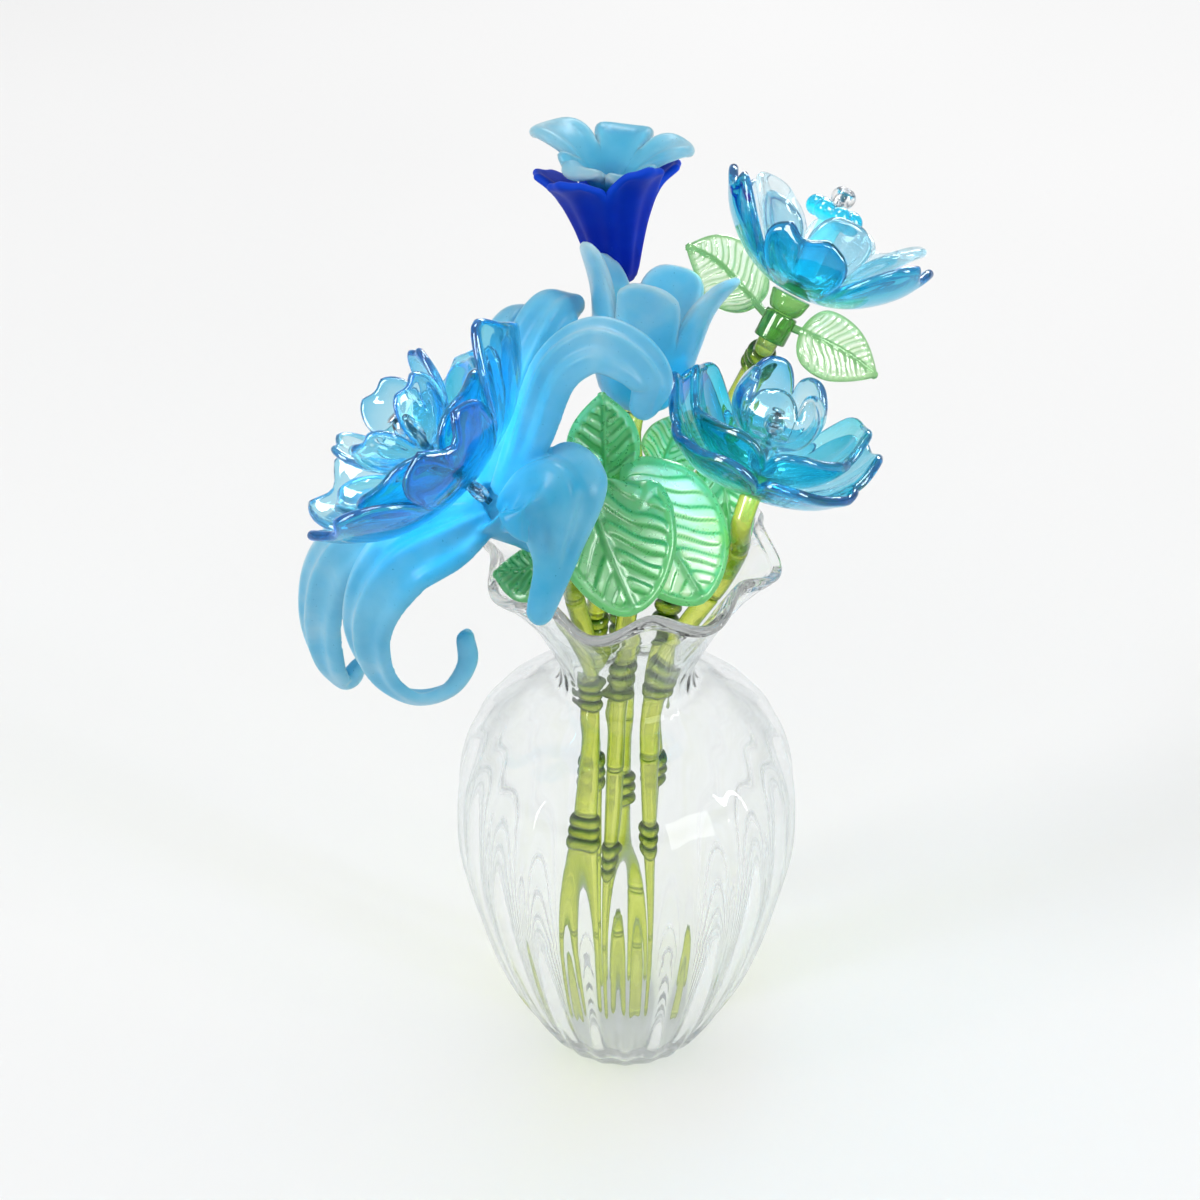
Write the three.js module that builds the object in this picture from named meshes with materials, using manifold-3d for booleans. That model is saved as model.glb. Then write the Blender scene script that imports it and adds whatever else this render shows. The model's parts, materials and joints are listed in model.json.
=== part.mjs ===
import * as THREE from "three";
import { mergeVertices } from "three/addons/utils/BufferGeometryUtils.js";
import Module from "manifold-3d";

// A miniature bouquet of glass flowers standing in a clear vase with a ruffled rim.
// Millimetres, +Z up. The origin is the centre of the vase's foot, and -Y is the front.

// ---- driving sizes ---------------------------------------------------------------------

const GAP = 0.3; // clear space where two pieces touch

// The vase's outside, from the foot to the rim: [height, radius].
const VASE_OUTLINE = [
  [0, 12.5],
  [3, 15.5],
  [20, 23.5],
  [42, 29.2],
  [54, 30],
  [64, 29],
  [71, 26],
  [77, 19],
  [80.5, 12.8],
  [84, 11.6],
  [89, 12.8],
  [103, 20],
  [110, 25.4],
];
const VASE_HEIGHT = 110;
const VASE_WALL = 1.8;
const VASE_FLOOR = 4; // height of the inside floor
const VASE_FLOOR_RADIUS = 12;
const VASE_RINGS = [0, 3, 14, 32, 52, 66, 75, 80.5, 85, 94, 103, 110];
const VASE_INNER_RINGS = [110, 102, 93, 84.5, 78, 69, 52, 30, 9];
const FLUTES = 20;
const FLUTE_DEPTH = 0.5;
const FLUTE_SWIRL = 8; // degrees that a flute leans over from foot to rim
const FLUTE_STRENGTH = [
  [0, 0.2],
  [12, 1],
  [62, 1],
  [78, 0.3],
  [110, 0.4],
];
const RUFFLES = 8;
const RUFFLE_START = 92; // height where the rim begins to wave
const RUFFLE_REACH = 1.5; // how far a lobe leans out
const RUFFLE_DROOP = 1.3; // how far it hangs down there
const RUFFLE_TURN = -13.5; // degrees from the front to the first lobe

// Stems of strung beads
const TUBE_RADIUS = 1.7;
const SEED_RADIUS = 2.1;
const WAIST_RADIUS = 1.25; // where two beads meet
const TUBE_LENGTH = 18;
const SEED_LENGTH = 2.5;
const STEM_SIDES = 6;
const PIN_RADIUS = 0.55;
const HOLE_RADIUS = 0.95; // the hole that a pin goes through

// Where each flower sits (the middle of its underside) and which way it opens
const ROSE_LEFT = { at: [-25.6, -17.8, 134.4], facing: [-0.725, 0.144, 0.674] };
const ROSE_RIGHT = { at: [19.5, -13.2, 129.8], facing: [0.297, 0.31, 0.903] };
const ROSE_TOP = { at: [26.3, 10.6, 151.6], facing: [0.453, 0.339, 0.824] };
const BELL = { at: [0.9, 3.6, 133.9], facing: [0.153, 0.388, 0.909] };
const TRUMPET = { at: [-1.9, 24.2, 145.5], facing: [-0.093, 0.364, 0.927] };
const LILY = { at: [-13.5, -17, 121.8], facing: [-0.694, -0.034, 0.719] };
const LILY_THROAT = 12; // length of the lily's throat, from its underside to its mouth
const THROAT_FLOOR = 9.8; // where the left rose's tube bead stands in it
const CUP_BEAD_LENGTH = 5.5; // the green bead under the top rose

// ---- helpers ---------------------------------------------------------------------------

const radians = THREE.MathUtils.degToRad;
const vector = (p) => new THREE.Vector3(p[0], p[1], p[2]);

// A smooth curve through a table of [x, y], x rising, read at x.
function smooth(table, x) {
  const last = table.length - 1;
  let i = table.findIndex((row) => row[0] > x) - 1;
  if (i < 0) i = x <= table[0][0] ? 0 : last - 1;
  const slope = (k) => {
    const a = table[Math.max(0, k - 1)];
    const b = table[Math.min(last, k + 1)];
    return (b[1] - a[1]) / (b[0] - a[0]);
  };
  const [x0, y0] = table[i];
  const [x1, y1] = table[i + 1];
  const step = x1 - x0;
  const t = THREE.MathUtils.clamp((x - x0) / step, 0, 1);
  const a = (1 + 2 * t) * (1 - t) ** 2 * y0 + t * t * (3 - 2 * t) * y1;
  const b = t * (1 - t) ** 2 * step * slope(i) + t * t * (t - 1) * step * slope(i + 1);
  return a + b;
}

// The same for a list of evenly spaced points or numbers, read at t from 0 to 1.
function along(list, t) {
  const read = (pick) =>
    smooth(
      list.map((item, i) => [i / (list.length - 1), pick(item)]),
      t,
    );
  if (typeof list[0] === "number") return read((item) => item);
  return new THREE.Vector3(
    read((p) => p[0]),
    read((p) => p[1]),
    read((p) => p[2]),
  );
}

// A closed solid skinned over rings of points. It starts and ends in a point, or without
// those the last ring joins the first.
function loft(rings, start, end) {
  const count = rings[0].length;
  const points = rings.flat();
  const faces = [];
  const joined = start ? rings.length - 1 : rings.length;
  for (let k = 0; k < joined; k++) {
    const next = (k + 1) % rings.length;
    for (let i = 0; i < count; i++) {
      const j = (i + 1) % count;
      const [a, b] = [k * count + i, k * count + j];
      const [c, d] = [next * count + j, next * count + i];
      faces.push(a, b, c, a, c, d);
    }
  }
  if (start) {
    const first = points.length;
    points.push(start, end);
    const lastRing = (rings.length - 1) * count;
    for (let i = 0; i < count; i++) {
      const j = (i + 1) % count;
      faces.push(first, j, i, first + 1, lastRing + i, lastRing + j);
    }
  }
  const geometry = new THREE.BufferGeometry().setFromPoints(points);
  let volume = 0;
  for (let f = 0; f < faces.length; f += 3) {
    const [a, b, c] = [points[faces[f]], points[faces[f + 1]], points[faces[f + 2]]];
    volume += a.dot(b.clone().cross(c));
  }
  geometry.setIndex(volume > 0 ? faces : faces.reverse());
  return geometry;
}

const wasm = await Module();
wasm.setup();

function solid(geometry) {
  const bare = geometry.clone();
  bare.deleteAttribute("normal");
  bare.deleteAttribute("uv");
  const merged = mergeVertices(bare, 1e-4);
  return new wasm.Manifold(
    new wasm.Mesh({
      numProp: 3,
      vertProperties: merged.attributes.position.array,
      triVerts: new Uint32Array(merged.index.array),
    }),
  );
}

// One body from geometries that run into each other.
function fuse(geometries) {
  const [first, ...rest] = geometries.map(solid);
  const mesh = rest.reduce((sum, next) => sum.add(next), first).getMesh();
  const geometry = new THREE.BufferGeometry();
  geometry.setAttribute("position", new THREE.BufferAttribute(mesh.vertProperties, 3));
  geometry.setIndex(new THREE.BufferAttribute(mesh.triVerts, 1));
  return geometry;
}

const root = new THREE.Group();

function material(colour, roughness, opacity = 1, metalness = 0) {
  return new THREE.MeshStandardMaterial({
    color: colour,
    roughness,
    metalness,
    opacity,
    transparent: opacity < 1,
  });
}

const CLEAR = material("#eef4f5", 0.05, 0.3);
const OLIVE = material("#9aa83a", 0.12, 0.8);
const FROSTED = material("#49a6dc", 0.45, 0.9);
const PALE_FROSTED = material("#7cc8e8", 0.45, 0.85);
const COBALT = material("#0a2fb8", 0.4, 0.95);
const DEEP_GLOSS = material("#1f6fb4", 0.05, 0.6);
const TEAL_GLOSS = material("#1fa3c4", 0.05, 0.6);
const AQUA_GLOSS = material("#8fd8ea", 0.05, 0.5);
const SMOKE_GLOSS = material("#8fb9c6", 0.08, 0.6);
const TURQUOISE = material("#18c6de", 0.1, 0.8);
const SILVER = material("#b8bcc0", 0.2, 1, 1);
const LEAF_GREEN = material("#4cae52", 0.3, 0.85);
const PALE_LEAF = material("#8fce86", 0.15, 0.7);

function add(name, geometry, finish, place = null, lift = 0) {
  const mesh = new THREE.Mesh(geometry, finish);
  mesh.name = name;
  if (place) {
    const axis = vector(place.facing).normalize();
    const front = new THREE.Vector3(0, -1, 0).addScaledVector(axis, axis.y).normalize();
    const side = axis.clone().cross(front);
    mesh.quaternion.setFromRotationMatrix(new THREE.Matrix4().makeBasis(front, side, axis));
    mesh.position.copy(vector(place.at)).addScaledVector(axis, lift);
  }
  root.add(mesh);
  return mesh;
}

// A point on a place's own axis.
const onAxis = (place, distance) =>
  vector(place.at).addScaledVector(vector(place.facing).normalize(), distance);

// ---- vase ------------------------------------------------------------------------------

// A point of the vase's wall: inset is the depth below its outer surface.
function wallPoint(height, turn, inset) {
  const radius = smooth(VASE_OUTLINE, height);
  const below = Math.max(0, height - 0.5);
  const above = Math.min(VASE_HEIGHT, height + 0.5);
  const lean = (smooth(VASE_OUTLINE, above) - smooth(VASE_OUTLINE, below)) / (above - below);
  const norm = Math.hypot(1, lean);
  const angle = turn + radians((FLUTE_SWIRL * height) / VASE_HEIGHT);
  const outside = inset === 0 ? 1 : 0;
  const flute = outside * FLUTE_DEPTH * smooth(FLUTE_STRENGTH, height) * Math.cos(FLUTES * turn);
  const waved = Math.max(0, (height - RUFFLE_START) / (VASE_HEIGHT - RUFFLE_START)) ** 2;
  const wave = waved * Math.cos(RUFFLES * (angle - radians(RUFFLE_TURN)));
  const reach = radius + flute + RUFFLE_REACH * wave - inset / norm;
  const level = height - RUFFLE_DROOP * wave + (inset * lean) / norm;
  return new THREE.Vector3(reach * Math.sin(angle), -reach * Math.cos(angle), level);
}

function vaseGeometry() {
  const count = FLUTES * 3;
  const ring = (point) =>
    Array.from({ length: count }, (_, i) => point((i / count) * 2 * Math.PI));
  const outer = VASE_RINGS.map((height) => ring((turn) => wallPoint(height, turn, 0)));
  const lip = ring((turn) => {
    const point = wallPoint(VASE_HEIGHT, turn, VASE_WALL / 2);
    return point.setZ(point.z + VASE_WALL / 3);
  });
  const inner = VASE_INNER_RINGS.map((height) =>
    ring((turn) => wallPoint(height, turn, VASE_WALL)),
  );
  const floor = ring(
    (turn) =>
      new THREE.Vector3(
        VASE_FLOOR_RADIUS * Math.sin(turn),
        -VASE_FLOOR_RADIUS * Math.cos(turn),
        VASE_FLOOR,
      ),
  );
  return loft(
    [...outer, lip, ...inner, floor],
    new THREE.Vector3(0, 0, 0),
    new THREE.Vector3(0, 0, VASE_FLOOR),
  );
}

add("vase", vaseGeometry(), CLEAR);

// ---- stems -----------------------------------------------------------------------------

// Beads on a wire: tubes, with a cluster of three seed beads at each given distance.
function stemGeometry(path, clusters) {
  const curve = new THREE.CatmullRomCurve3(path.map(vector), false, "centripetal");
  const length = curve.getLength();
  const stations = [];
  const tubes = (from, to) => {
    const count = Math.max(1, Math.round((to - from) / TUBE_LENGTH));
    for (let i = 0; i < count; i++) {
      const [a, b] = [from + ((to - from) * i) / count, from + ((to - from) * (i + 1)) / count];
      const shoulder = Math.min(0.5, (b - a) / 5);
      stations.push([a, WAIST_RADIUS], [a + shoulder, TUBE_RADIUS]);
      stations.push([b - shoulder, TUBE_RADIUS]);
    }
  };
  let at = 0;
  for (const cluster of clusters) {
    tubes(at, cluster);
    for (let i = 0; i < 3; i++) {
      const seed = cluster + i * SEED_LENGTH;
      stations.push([seed, WAIST_RADIUS], [seed + SEED_LENGTH / 2, SEED_RADIUS]);
    }
    at = cluster + 3 * SEED_LENGTH;
  }
  tubes(at, length);
  stations.push([length, WAIST_RADIUS]);
  const rings = stations.map(([distance, radius]) => {
    const t = distance / length;
    const centre = curve.getPointAt(t);
    const tangent = curve.getTangentAt(t);
    const across = new THREE.Vector3(1, 0, 0).addScaledVector(tangent, -tangent.x).normalize();
    const forth = tangent.clone().cross(across);
    return Array.from({ length: STEM_SIDES }, (_, i) => {
      const angle = (i / STEM_SIDES) * 2 * Math.PI;
      return centre
        .clone()
        .addScaledVector(across, radius * Math.cos(angle))
        .addScaledVector(forth, radius * Math.sin(angle));
    });
  });
  return loft(rings, curve.getPointAt(0), curve.getPointAt(1));
}

const STEM_FOOT = VASE_FLOOR + GAP + 0.1;
const under = (place, distance = GAP) => onAxis(place, -distance).toArray();

const STEMS = {
  stem_lily: {
    path: [
      [-9, -3, STEM_FOOT],
      [-7.6, -4, 45],
      [-6.2, -3.2, 86],
      [-9, -9, 106],
      under(LILY, 5),
      under(LILY),
    ],
    clusters: [42, 74],
  },
  stem_leaves: {
    path: [
      [-7, 5, STEM_FOOT],
      [-6.4, 3.5, 50],
      [-6, 2.4, 86],
      [-4.4, -4.5, 110],
      [-4, -8, 125],
    ],
    clusters: [50, 84],
  },
  stem_bell: {
    path: [
      [-3.5, -3.5, STEM_FOOT],
      [-2.4, -2.6, 45],
      [-1.2, -1.2, 86],
      [1.8, -1.4, 115],
      under(BELL, 4),
      under(BELL),
    ],
    clusters: [34, 76],
  },
  stem_trumpet: {
    path: [
      [-1, 7, STEM_FOOT],
      [-1, 6.2, 50],
      [-0.8, 5.4, 86],
      [-1, 12, 118],
      under(TRUMPET, 6),
      under(TRUMPET),
    ],
    clusters: [44, 80],
  },
  stem_rose_top: {
    path: [
      [4, 6, STEM_FOOT],
      [4.6, 4.6, 50],
      [5.6, 2.8, 86],
      [14.3, 11.2, 121.6],
      [20.4, 12, 137],
      under(ROSE_TOP, CUP_BEAD_LENGTH + 4),
      under(ROSE_TOP, CUP_BEAD_LENGTH + 2.5 * GAP),
    ],
    clusters: [50, 84, 136],
  },
  stem_rose_right: {
    path: [
      [3, -2.6, STEM_FOOT],
      [4, -3.6, 50],
      [5.4, -4, 86],
      [15.9, -5.6, 107.5],
      [17.9, -11, 117.5],
      under(ROSE_RIGHT, 6),
      under(ROSE_RIGHT),
    ],
    clusters: [40, 78],
  },
};
for (const [name, { path, clusters }] of Object.entries(STEMS))
  add(name, stemGeometry(path, clusters), OLIVE);

// ---- blossoms --------------------------------------------------------------------------

// A moulded blossom turned round +Z, opening upwards: a shell whose edge is cut into petals.
//   profile    [distance from the axis, height] of the shell's middle, from its hole to its edge
//   cleft      how far out the petals are joined, as a share of their length
//   notch      depth of the dent in each petal's tip, as a share of its length
//   camber     how much higher a petal's edges are than its midrib
//   turn       degrees from the front to the first petal
//   reach      each petal's length, 1 for the full profile
//   rise       how much each petal's tip is lifted above the profile
//   foot       [radius, length] of a neck under the shell
//   closed     true if there is no hole in its middle
function blossomGeometry(shape, perPetal = 6, steps = 3) {
  const { petals, profile, thickness, cleft, notch, camber, turn = 0, foot = null } = shape;
  const reach = shape.reach ?? Array(petals).fill(1);
  const rise = shape.rise ?? Array(petals).fill(0);
  const scallop = shape.scallop ?? 0;
  const count = petals * perPetal;
  const radii = profile.map((p) => p[0]);
  const heights = profile.map((p) => p[1]);
  // Shell point at petal k, across it p from -1 to 1, and s of the way to the edge there.
  const point = (i, s, offset, past = 0) => {
    const k = Math.floor(i / perPetal) % petals;
    const p = (2 * (i % perPetal)) / perPetal - 1;
    const angle = radians(turn) + (2 * Math.PI * (i / perPetal - 0.5)) / petals;
    const edge = p === -1 ? (reach[k] + reach[(k + petals - 1) % petals]) / 2 : reach[k];
    const raised = p === -1 ? (rise[k] + rise[(k + petals - 1) % petals]) / 2 : rise[k];
    const lobe = Math.sqrt(Math.max(0, 1 - Math.abs(p) ** 3));
    const dent = notch * Math.max(0, 1 - (p / 0.3) ** 2);
    const frill = scallop * (0.5 - 0.5 * Math.cos(4 * Math.PI * p));
    const t = s * (cleft + (1 - cleft) * lobe - dent - frill);
    const size = 1 + (edge - 1) * t;
    const ahead = Math.min(1, t + 0.02);
    const back = Math.max(0, t - 0.02);
    const out = along(radii, ahead) - along(radii, back);
    const up = along(heights, ahead) - along(heights, back);
    const norm = Math.hypot(out, up);
    const half = offset * thickness * 0.5;
    const radius = size * along(radii, t) - (half * up) / norm + (past * out) / norm;
    const height = size * along(heights, t) + (half * out) / norm + (past * up) / norm;
    const bend = camber * t * t * p * p + raised * t * t * (1 - p * p);
    return new THREE.Vector3(
      radius * Math.cos(angle),
      radius * Math.sin(angle),
      height + bend + thickness / 2,
    );
  };
  const ring = (s, offset, past) =>
    Array.from({ length: count }, (_, i) => point(i, s, offset, past));
  const circle = (radius, height) =>
    Array.from({ length: count }, (_, i) => {
      const angle = radians(turn) + (2 * Math.PI * (i / perPetal - 0.5)) / petals;
      return new THREE.Vector3(radius * Math.cos(angle), radius * Math.sin(angle), height);
    });
  const rings = [];
  if (foot) rings.push(circle(HOLE_RADIUS, -foot[1]), circle(foot[0], -foot[1]), circle(foot[0], 0));
  else rings.push(ring(0, -1));
  for (let k = 1; k <= steps; k++) rings.push(ring(k / steps, -1));
  rings.push(ring(1, 0, thickness * 0.4));
  for (let k = steps; k >= 0; k--) rings.push(ring(k / steps, 1));
  if (shape.closed) return loft(rings, new THREE.Vector3(), new THREE.Vector3(0, 0, thickness));
  return loft(rings);
}

// A round bead with a hole along +Z.
function beadGeometry(radius, length, sides = 10) {
  const half = length / 2;
  const hole = HOLE_RADIUS;
  const outline = [
    [hole, -half],
    [radius * 0.72, -half * 0.8],
    [radius, 0],
    [radius * 0.72, half * 0.8],
    [hole, half],
  ];
  const rings = outline.map(([r, z]) =>
    Array.from({ length: sides }, (_, i) => {
      const angle = (i / sides) * 2 * Math.PI;
      return new THREE.Vector3(r * Math.cos(angle), r * Math.sin(angle), z);
    }),
  );
  return loft(rings);
}

// A pin along +Z, with a round head that holds its blossoms on.
function pinGeometry(from, to) {
  const head = 0.6;
  const outline = [
    [0, from],
    [PIN_RADIUS, from],
    [PIN_RADIUS, to - head],
    [HOLE_RADIUS + 0.25, to - head],
    [HOLE_RADIUS, to],
    [0, to],
  ];
  return new THREE.LatheGeometry(
    outline.map(([x, y]) => new THREE.Vector2(x, y)),
    8,
  ).rotateX(Math.PI / 2);
}

// How far the next blossom or bead stands above a blossom's underside.
const hub = (shape) => shape.thickness + GAP + 0.2;

// Glossy rose: an outer and a middle blossom, a small closed one in the middle, and a bead.
function rose(name, place, layers, finishes, from, beadRadius, beadLength) {
  let lift = 0;
  for (const [layer, shape] of Object.entries(layers)) {
    lift += shape.foot ? shape.foot[1] : 0;
    add(`${name}_${layer}`, blossomGeometry(shape, shape.fine), finishes[layer], place, lift);
    lift += hub(shape);
  }
  add(`${name}_bead`, beadGeometry(beadRadius, beadLength), CLEAR, place, lift + beadLength / 2);
  const head = lift + beadLength + GAP + 0.6;
  add(`${name}_pin`, pinGeometry(from, head), SILVER, place);
}

const PETAL_THICKNESS = 1.4;

const ROSE_RIGHT_LAYERS = {
  outer: {
    petals: 5,
    profile: [[HOLE_RADIUS, 0], [6, 0.3], [11.4, 3], [15.4, 7.6], [17.8, 12.6]],
    thickness: PETAL_THICKNESS,
    cleft: 0.62,
    notch: 0.05,
    camber: 1.2,
    turn: 16,
  },
  middle: {
    petals: 5,
    profile: [[HOLE_RADIUS, 0], [4.6, 0.4], [9, 3.6], [12, 8.4], [13.8, 14.2]],
    thickness: PETAL_THICKNESS,
    cleft: 0.62,
    notch: 0.04,
    camber: 1,
    turn: 52,
  },
  inner: {
    petals: 5,
    profile: [[HOLE_RADIUS, 0], [3.6, 0.8], [5.2, 3.4], [5.9, 6.8], [5.6, 10.4]],
    thickness: 1.2,
    cleft: 0.6,
    notch: 0,
    camber: 0.4,
    turn: 16,
    foot: [2, 3.6],
  },
};
const ROSE_FINISHES = { outer: DEEP_GLOSS, middle: TEAL_GLOSS, inner: AQUA_GLOSS };
rose("rose_right", ROSE_RIGHT, ROSE_RIGHT_LAYERS, ROSE_FINISHES, 0, 1.9, 3.6);

const ROSE_LEFT_LAYERS = {
  outer: {
    petals: 5,
    profile: [[HOLE_RADIUS, 0], [7, 0.3], [13.4, 3], [18.4, 7.8], [21.6, 13]],
    thickness: PETAL_THICKNESS,
    cleft: 0.58,
    notch: 0.06,
    camber: 1.4,
    turn: -9.4,
  },
  middle: {
    petals: 5,
    profile: [[HOLE_RADIUS, 0], [5, 0.4], [10.4, 3.4], [14.4, 8.4], [17, 14]],
    thickness: PETAL_THICKNESS,
    cleft: 0.58,
    notch: 0.05,
    camber: 1.2,
    turn: 26.6,
  },
  inner: {
    petals: 5,
    profile: [[HOLE_RADIUS, 0], [4, 0.7], [7, 3.4], [9, 7], [9.8, 11]],
    thickness: 1.2,
    cleft: 0.5,
    notch: 0.03,
    camber: 0.8,
    turn: -9.4,
    foot: [2, 3.4],
  },
};
const ROSE_LEFT_TUBE = 4.9; // length of the tube bead between the lily's throat and the rose
rose("rose_left", ROSE_LEFT, ROSE_LEFT_LAYERS, ROSE_FINISHES, -ROSE_LEFT_TUBE - GAP, 1.9, 6);

// The top rose: smoky pointed petals inside the blue ones, then a daisy spacer and a clear ball.
const ROSE_TOP_LAYERS = {
  outer: {
    petals: 5,
    profile: [[HOLE_RADIUS, 0], [5, 0.4], [10, 2.4], [14.6, 5.6], [18.2, 9.6]],
    thickness: PETAL_THICKNESS,
    cleft: 0.45,
    notch: 0.1,
    camber: 1.2,
    turn: -10,
  },
  middle: {
    petals: 5,
    profile: [[HOLE_RADIUS, 0], [4, 0.3], [7.4, 3.4], [10.6, 7.4], [13, 11.2]],
    thickness: 1.3,
    cleft: 0.45,
    notch: 0,
    camber: 1,
    turn: 26,
  },
  daisy: {
    petals: 6,
    profile: [[HOLE_RADIUS, 0], [2.2, 0], [3.6, 0.2], [4.6, 0.6]],
    thickness: 1.8,
    cleft: 0.55,
    notch: 0,
    camber: -0.4,
    turn: 0,
    fine: 4,
    foot: [2, 7.6],
  },
};
const TOP_FINISHES = { outer: DEEP_GLOSS, middle: SMOKE_GLOSS, daisy: TURQUOISE };
rose("rose_top", ROSE_TOP, ROSE_TOP_LAYERS, TOP_FINISHES, 0, 1.9, 3.6);

function cupBeadGeometry() {
  const outline = [
    [0, 0],
    [2.4, 0],
    [3, 1.4],
    [2.9, 3.2],
    [3.6, CUP_BEAD_LENGTH],
    [0, CUP_BEAD_LENGTH],
  ];
  return new THREE.LatheGeometry(
    outline.map(([x, y]) => new THREE.Vector2(x, y)),
    10,
  ).rotateX(Math.PI / 2);
}
add("rose_top_cup", cupBeadGeometry(), PALE_LEAF, ROSE_TOP, -CUP_BEAD_LENGTH - GAP);

const BELL_SHAPE = {
  petals: 5,
  closed: true,
  profile: [[HOLE_RADIUS, 0], [4.8, 1.2], [7, 5], [8.2, 10], [9.6, 15], [12.6, 20]],
  thickness: 1.4,
  cleft: 0.55,
  notch: 0.04,
  camber: 0.8,
  turn: -32,
  reach: [1, 0.92, 1.02, 0.95, 1.02],
};

add("bell", blossomGeometry(BELL_SHAPE, 6, 4), PALE_FROSTED, BELL);

const TRUMPET_OUTER = {
  petals: 5,
  closed: true,
  profile: [[HOLE_RADIUS, 0], [3, 1.2], [4.4, 6], [6.1, 11], [8.6, 15.6], [12.8, 18.6]],
  thickness: 1.2,
  cleft: 0.84,
  notch: 0.02,
  camber: 0,
  scallop: 0.03,
  turn: 36,
  rise: [0, -1, -1, 0, 0.6],
};
const TRUMPET_INNER = {
  petals: 5,
  profile: [[HOLE_RADIUS + 0.6, 0], [2.2, 2.4], [3.6, 5.4], [7.6, 8.2], [13.6, 10.2]],
  thickness: 1.2,
  cleft: 0.5,
  notch: 0,
  camber: 1.2,
  turn: 30,
  reach: [0.42, 1.02, 1, 1, 0.5],
};
const TRUMPET_INNER_LIFT = 12.5;
const INNER_FLOWER = { at: onAxis(TRUMPET, TRUMPET_INNER_LIFT).toArray(), facing: [0.05, 0.15, 0.99] };
add("trumpet_outer", blossomGeometry(TRUMPET_OUTER, 6, 4), COBALT, TRUMPET);
add("trumpet_inner", blossomGeometry(TRUMPET_INNER, 6, 4), PALE_FROSTED, INNER_FLOWER);
add("trumpet_pin", pinGeometry(-3, 5.4), SILVER, INNER_FLOWER);

// ---- lily ------------------------------------------------------------------------------

// A ribbon along a path of points, folded along its midrib. inside is a point on its hollow side.
function ribbonGeometry({ path, widths, inside, fold = 0.22, thickness = 1.5 }) {
  const steps = path.length + 2;
  const across = [-1, -0.5, 0, 0.5, 1];
  const centre = vector(inside);
  const frames = Array.from({ length: steps }, (_, i) => {
    const t = i / (steps - 1);
    const at = along(path, t);
    const tangent = along(path, Math.min(1, t + 0.01))
      .sub(along(path, Math.max(0, t - 0.01)))
      .normalize();
    const normal = at.clone().sub(centre);
    normal.addScaledVector(tangent, -normal.dot(tangent)).normalize();
    return { at, tangent, normal, side: tangent.clone().cross(normal), width: along(widths, t) };
  });
  const rings = frames.map(({ at, normal, side, width }) => {
    const edge = (x, sign) => {
      const thin = 1 - 0.45 * x * x;
      const crest = fold * width * (0.5 - Math.abs(x) ** 1.5);
      return at
        .clone()
        .addScaledVector(side, (x * width) / 2)
        .addScaledVector(normal, crest + (sign * thin * thickness) / 2);
    };
    return [...across.map((x) => edge(x, 1)), ...across.toReversed().map((x) => edge(x, -1))];
  });
  const first = frames[0];
  const last = frames[steps - 1];
  const end = last.at.clone().addScaledVector(last.tangent, last.width * 0.35);
  return loft(rings, first.at.clone().addScaledVector(first.normal, 0.2 * first.width * fold), end);
}

const LILY_PETALS = [
  {
    path: [
      [-20.3, -17, 131.5],
      [-15.8, -17, 143],
      [-11.9, -16, 153.4],
      [-5.9, -16, 158.2],
      [0.1, -17, 156.6],
      [3.6, -18, 152.6],
      [2.6, -18, 148.6],
    ],
    widths: [5, 9, 9.5, 9.5, 8.5, 6.5, 3],
    inside: [-4.7, -8, 143],
  },
  {
    path: [
      [-20.9, -14, 130.7],
      [-18, -4.8, 137],
      [-14.7, 1.2, 146.2],
      [-11.6, 6.2, 151.4],
      [-8.8, 12.2, 148.9],
    ],
    widths: [5, 9, 11, 9, 4],
    inside: [-13.7, 17, 137],
  },
  {
    path: [
      [-22, -14, 130.7],
      [-21.8, -4, 136.5],
      [-20.4, 4, 144.5],
      [-18, 12, 146.7],
      [-15.4, 17, 144],
    ],
    widths: [5, 8, 9, 7, 3.5],
    inside: [-17, 16, 134],
  },
  {
    path: [
      [-19.5, -19, 129.8],
      [-15, -23, 136.6],
      [-11.2, -26, 137.4],
      [-11.4, -28, 127],
      [-13.9, -30, 118],
    ],
    widths: [8, 18, 19, 8, 4.6],
    inside: [-17.6, -12, 115.2],
  },
  {
    path: [
      [-22.2, -19, 128.7],
      [-28.9, -22, 127],
      [-36, -23, 123.7],
      [-41.1, -23, 116.2],
      [-42.7, -22, 107.5],
      [-40.6, -20, 97.9],
      [-35.2, -19, 92.6],
      [-29.4, -18, 93.7],
      [-26.3, -18, 99],
      [-26.5, -18, 103.9],
    ],
    widths: [6, 12, 14, 13, 11, 8.5, 6.5, 4.6, 4, 3.4],
    inside: [-32.7, -12, 103],
  },
  {
    path: [
      [-23.5, -17, 129.3],
      [-33.3, -13, 124.4],
      [-43.5, -9, 118.7],
      [-49.9, -6, 109.7],
      [-52.4, -4, 98],
      [-51.4, -3, 87.7],
      [-48.5, -2, 82.6],
      [-45.8, -2, 86.3],
    ],
    widths: [6, 11, 13, 13, 11, 8.5, 5, 3],
    inside: [-44.4, 4, 92],
  },
];

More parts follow.
